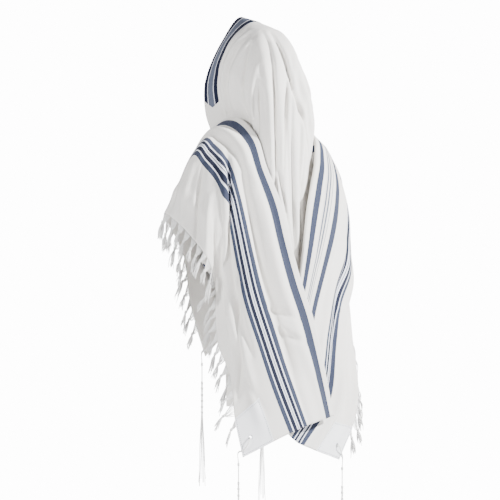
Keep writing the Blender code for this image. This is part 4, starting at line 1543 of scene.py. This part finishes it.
class Fringe:
    """The knotted fringe of one edge."""

    def __init__(self, kit: MaterialKit, side: Side, panel: Panel) -> None:
        """Keep what the fringe hangs from.

        Args:
            kit: Makes the materials.
            side: The drape's side.
            panel: The drape's panel.
        """
        self.kit = kit
        self.side = side
        self.panel = panel
        self.out = panel.past_edge()
        self.draw = np.random.default_rng(DRAWS[side])

    def build(self) -> bpy.types.Object:
        """Make every tassel of the edge.

        Returns:
            The fringe.
        """
        name = "fringe_" + self.side.value
        first = FRINGE.clear_of_corner
        step = (CLOTH.depth - 2 * first) / FRINGE.tassels
        strands = []
        for k in range(FRINGE.tassels):
            strands += self.tassel(first + step * (k + 0.5), step, k)
        mesh = threads_mesh("visual_" + name, strands, 0)
        return place_piece(mesh, self.kit.thread(THREAD), name)

    def edge(self, run: float) -> tuple[np.ndarray, np.ndarray]:
        """Read one place on the fringed edge.

        Args:
            run: How far along it.

        Returns:
            The place and the way out of the cloth there.
        """
        run = min(max(run, 0.0), CLOTH.depth)
        place, away = (
            np.array([np.interp(run, self.panel.runs, values[:, axis]) for axis in range(3)])
            for values in (self.panel.grid[:, 0], self.out))
        return place, unit(away)

    def tassel(self, run: float, step: float, k: int) -> list[Strand]:
        """Lay one tassel: threads from the edge, a knot and the loose ends.

        Args:
            run: Where it hangs along the edge.
            step: How far apart the tassels are.
            k: Its number.

        Returns:
            Its threads.
        """
        root, away = self.edge(run)
        along = unit(self.edge(run + step / 4)[0] - root)
        sway = FRINGE.sway.at(k)
        swing = FRINGE.swing.at(k) + FRINGE.quick_swing.at(k)
        hang = unit(away * (FRINGE.out + sway) + DOWN * (FRINGE.down - sway) + along * swing)
        length = FRINGE.length * (1 + FRINGE.longer.at(k))
        knot_at = FRINGE.knot_at * (1 + FRINGE.knot_lower.at(k))
        knot = root + hang * length * knot_at
        strands = []
        half = FRINGE.root_spread * (FRINGE.root_least + FRINGE.root_wider.at(k))
        for part in np.linspace(-1, 1, FRINGE.roots):
            part = part + FRINGE.root_jitter * (self.draw.random() - 0.5)
            start, out = self.edge(run + part * half)
            start = start + out * CLOTH.seam_gap
            bend = (start + knot) / 2 + hang * FRINGE.sag + DOWN * FRINGE.sag * self.draw.random()
            strands.append(even(rounded([start, bend, knot], FRINGE.root_points), FRINGE.thread))
        wrap = coil(knot - hang * FRINGE.wrap_above, knot + hang * FRINGE.wrap_below,
                    FRINGE.wrap_radius, FRINGE.wrap_pitch, FRINGE.wrap_points)
        strands.append(even(wrap, FRINGE.wrap_thread))
        return strands + self.loose_ends(knot, hang, along, length * (1 - knot_at), k)

    def loose_ends(self, knot: np.ndarray, hang: np.ndarray, along: np.ndarray, rest: float,
                   k: int) -> list[Strand]:
        """Let a tassel's loose ends fall from its knot in a few clumps.

        Args:
            knot: Where they start.
            hang: The way the tassel hangs.
            along: The way along the edge.
            rest: About how long they are.
            k: The tassel's number.

        Returns:
            The loose ends.
        """
        side = unit(np.cross(hang, along))
        fall = unit(hang * FRINGE.fall_along + DOWN * FRINGE.fall_down)
        tip_way = hang * (1 - FRINGE.tip_fall) + fall * FRINGE.tip_fall
        strands = []
        for j in range(FRINGE.strands):
            clump = j % FRINGE.clumps + FRINGE.clump_jitter * self.draw.random()
            turn = 2 * math.pi * clump / FRINGE.clumps + k
            spread = FRINGE.spread_least + (1 - FRINGE.spread_least) * self.draw.random()
            ring = (along * math.cos(turn) + side * math.sin(turn)) * spread
            end = rest * (FRINGE.end_least + FRINGE.end_more * self.draw.random())
            waist = knot + hang * FRINGE.wrap_above + ring * FRINGE.waist
            middle = knot + (hang + fall) * end / 4 + ring * FRINGE.flare * FRINGE.middle_flare
            tip = knot + tip_way * end + ring * FRINGE.flare
            tip = tip + along * (self.draw.random() - 0.5) * FRINGE.tip_sway
            middle = middle + side * (self.draw.random() - 0.5) * FRINGE.middle_sway
            route = rounded([waist, middle, tip], len(FRINGE.swell))
            strands.append((route, FRINGE.thread * np.array(FRINGE.swell)))
        return strands


@dataclass(frozen=True)
class Lamp:
    """A square lamp: its place and size in metres and its power in watts."""

    name: str
    place: Point
    power: float
    size: float


@dataclass(frozen=True)
class StudioSizes:
    """The floor, the light all round and the camera, in metres."""

    floor_radius: float = 5.8
    floor_sides: int = 96
    floor_height: float = -1.75
    floor_colour: str = "#F2F2F2"
    floor_roughness: float = 0.9
    floor_glow: float = 0.5
    glow: float = 0.14
    glow_tint: str = "#E4EBFF"
    ground: float = 14.0
    lamp_aim: Point = (0, 0, -0.5)
    away: Point = (0.574, 0.819, 0.0)
    right: Point = (-0.819, 0.574, 0.0)
    centre_right: float = -0.032
    centre_away: float = 0.05
    centre_height: float = -0.5947
    distance: float = 20.0
    view_width: float = 500 / 375
    sensor_mm: float = 36


LAMPS = (
    Lamp("key", (-1.7, 2.4, 1.0), 430, 0.2),
    Lamp("side", (3.2, 0.8, 0.2), 130, 0.4),
    Lamp("front", (-1.2, -3.8, 1.4), 120, 1.6),
)
STUDIO = StudioSizes()
WHITE = (1.0, 1.0, 1.0, 1.0)


class Studio:
    """The plain floor, the lights and the camera."""

    def build(self) -> None:
        """Set up the studio."""
        self.floor()
        self.glow()
        for lamp in LAMPS:
            self.light(lamp)
        self.camera()

    def floor(self) -> None:
        """Lay a wide round floor under the shawl."""
        choose()
        bpy.ops.mesh.primitive_circle_add(
            vertices=STUDIO.floor_sides, radius=STUDIO.floor_radius, fill_type="NGON",
            location=(0, 0, STUDIO.floor_height))
        floor = bpy.context.active_object
        floor.name = "floor"
        # Matt white paint that glows a little. The eye gets a pale ground with a faint shadow.
        material = bpy.data.materials.new("pale_floor")
        material.use_nodes = True
        shader = material.node_tree.nodes["Principled BSDF"]
        shader.inputs["Base Color"].default_value = hex_colour(STUDIO.floor_colour)
        shader.inputs["Roughness"].default_value = STUDIO.floor_roughness
        shader.inputs["Emission Color"].default_value = WHITE
        shader.inputs["Emission Strength"].default_value = STUDIO.floor_glow
        floor.data.materials.append(material)

    def glow(self) -> None:
        """Light the shawl a little from all round, and show the camera a white ground."""
        world = bpy.data.worlds.new("studio")
        bpy.context.scene.world = world
        world.use_nodes = True
        tree = world.node_tree
        glow = tree.nodes["Background"]
        glow.inputs[0].default_value = hex_colour(STUDIO.glow_tint)
        glow.inputs[1].default_value = STUDIO.glow
        ground = MaterialKit.add(tree, "ShaderNodeBackground", {0: WHITE, 1: STUDIO.ground})
        seen = MaterialKit.add(tree, "ShaderNodeLightPath").outputs["Is Camera Ray"]
        mix = MaterialKit.add(tree, "ShaderNodeMixShader", {
            0: seen, 1: glow.outputs[0], 2: ground.outputs[0]})
        tree.links.new(mix.outputs[0], tree.nodes["World Output"].inputs[0])

    def light(self, lamp: Lamp) -> None:
        """Hang a lamp and turn it to the shawl's middle.

        Args:
            lamp: The lamp.
        """
        data = bpy.data.lights.new(lamp.name, "AREA")
        data.energy = lamp.power
        data.size = lamp.size
        light = in_scene(lamp.name, data)
        light.location = lamp.place
        aim = Vector(STUDIO.lamp_aim) - Vector(lamp.place)
        light.rotation_euler = aim.to_track_quat("-Z", "Y").to_euler()

    def camera(self) -> None:
        """Stand the camera behind the wearer's left shoulder."""
        data = bpy.data.cameras.new("camera")
        camera = in_scene("camera", data)
        away = Vector(STUDIO.away)
        centre = (Vector(STUDIO.right) * STUDIO.centre_right
                  + Vector((0, 0, STUDIO.centre_height)) + away * STUDIO.centre_away)
        data.sensor_width = STUDIO.sensor_mm
        data.lens = STUDIO.sensor_mm * STUDIO.distance / STUDIO.view_width
        data.dof.use_dof = False
        camera.location = centre + away * STUDIO.distance
        camera.rotation_euler = (-away).to_track_quat("-Z", "Y").to_euler()
        bpy.context.scene.camera = camera


class Shawl:
    """The whole shawl, in its pieces."""

    def __init__(self) -> None:
        """Start with no pieces."""
        self.kit = MaterialKit()

    def build(self) -> None:
        """Make every piece and log how many pieces each drape carries."""
        cloth = ClothBody(self.kit)
        sheets = cloth.build()
        band = Atarah(self.kit, cloth.back).build()
        patches = {}
        with_drape: dict[Side, list[bpy.types.Object]] = {}
        for side, panel in ((Side.LEFT, cloth.left), (Side.RIGHT, cloth.right)):
            drape = sheets["cloth_" + side.value + "_drape"]
            with_drape[side] = [Fringe(self.kit, side, panel).build()]
            for end in End:
                corner = Corner(self.kit, side, end, panel)
                corner.punch(drape)
                patches[corner.name] = corner.build_patch()
                with_drape[side] += [patches[corner.name], corner.build_tzitzit()]
            LOG.info("%s drape with %d pieces on it", side.value, len(with_drape[side]))
        for name, patch in patches.items():
            drape = sheets["cloth_" + name.split("_")[0] + "_drape"]


def main() -> None:
    """Build the shawl and the studio."""
    logging.basicConfig(level=logging.INFO)
    Shawl().build()
    Studio().build()
    LOG.info("size written")


if __name__ == "__main__":
    main()
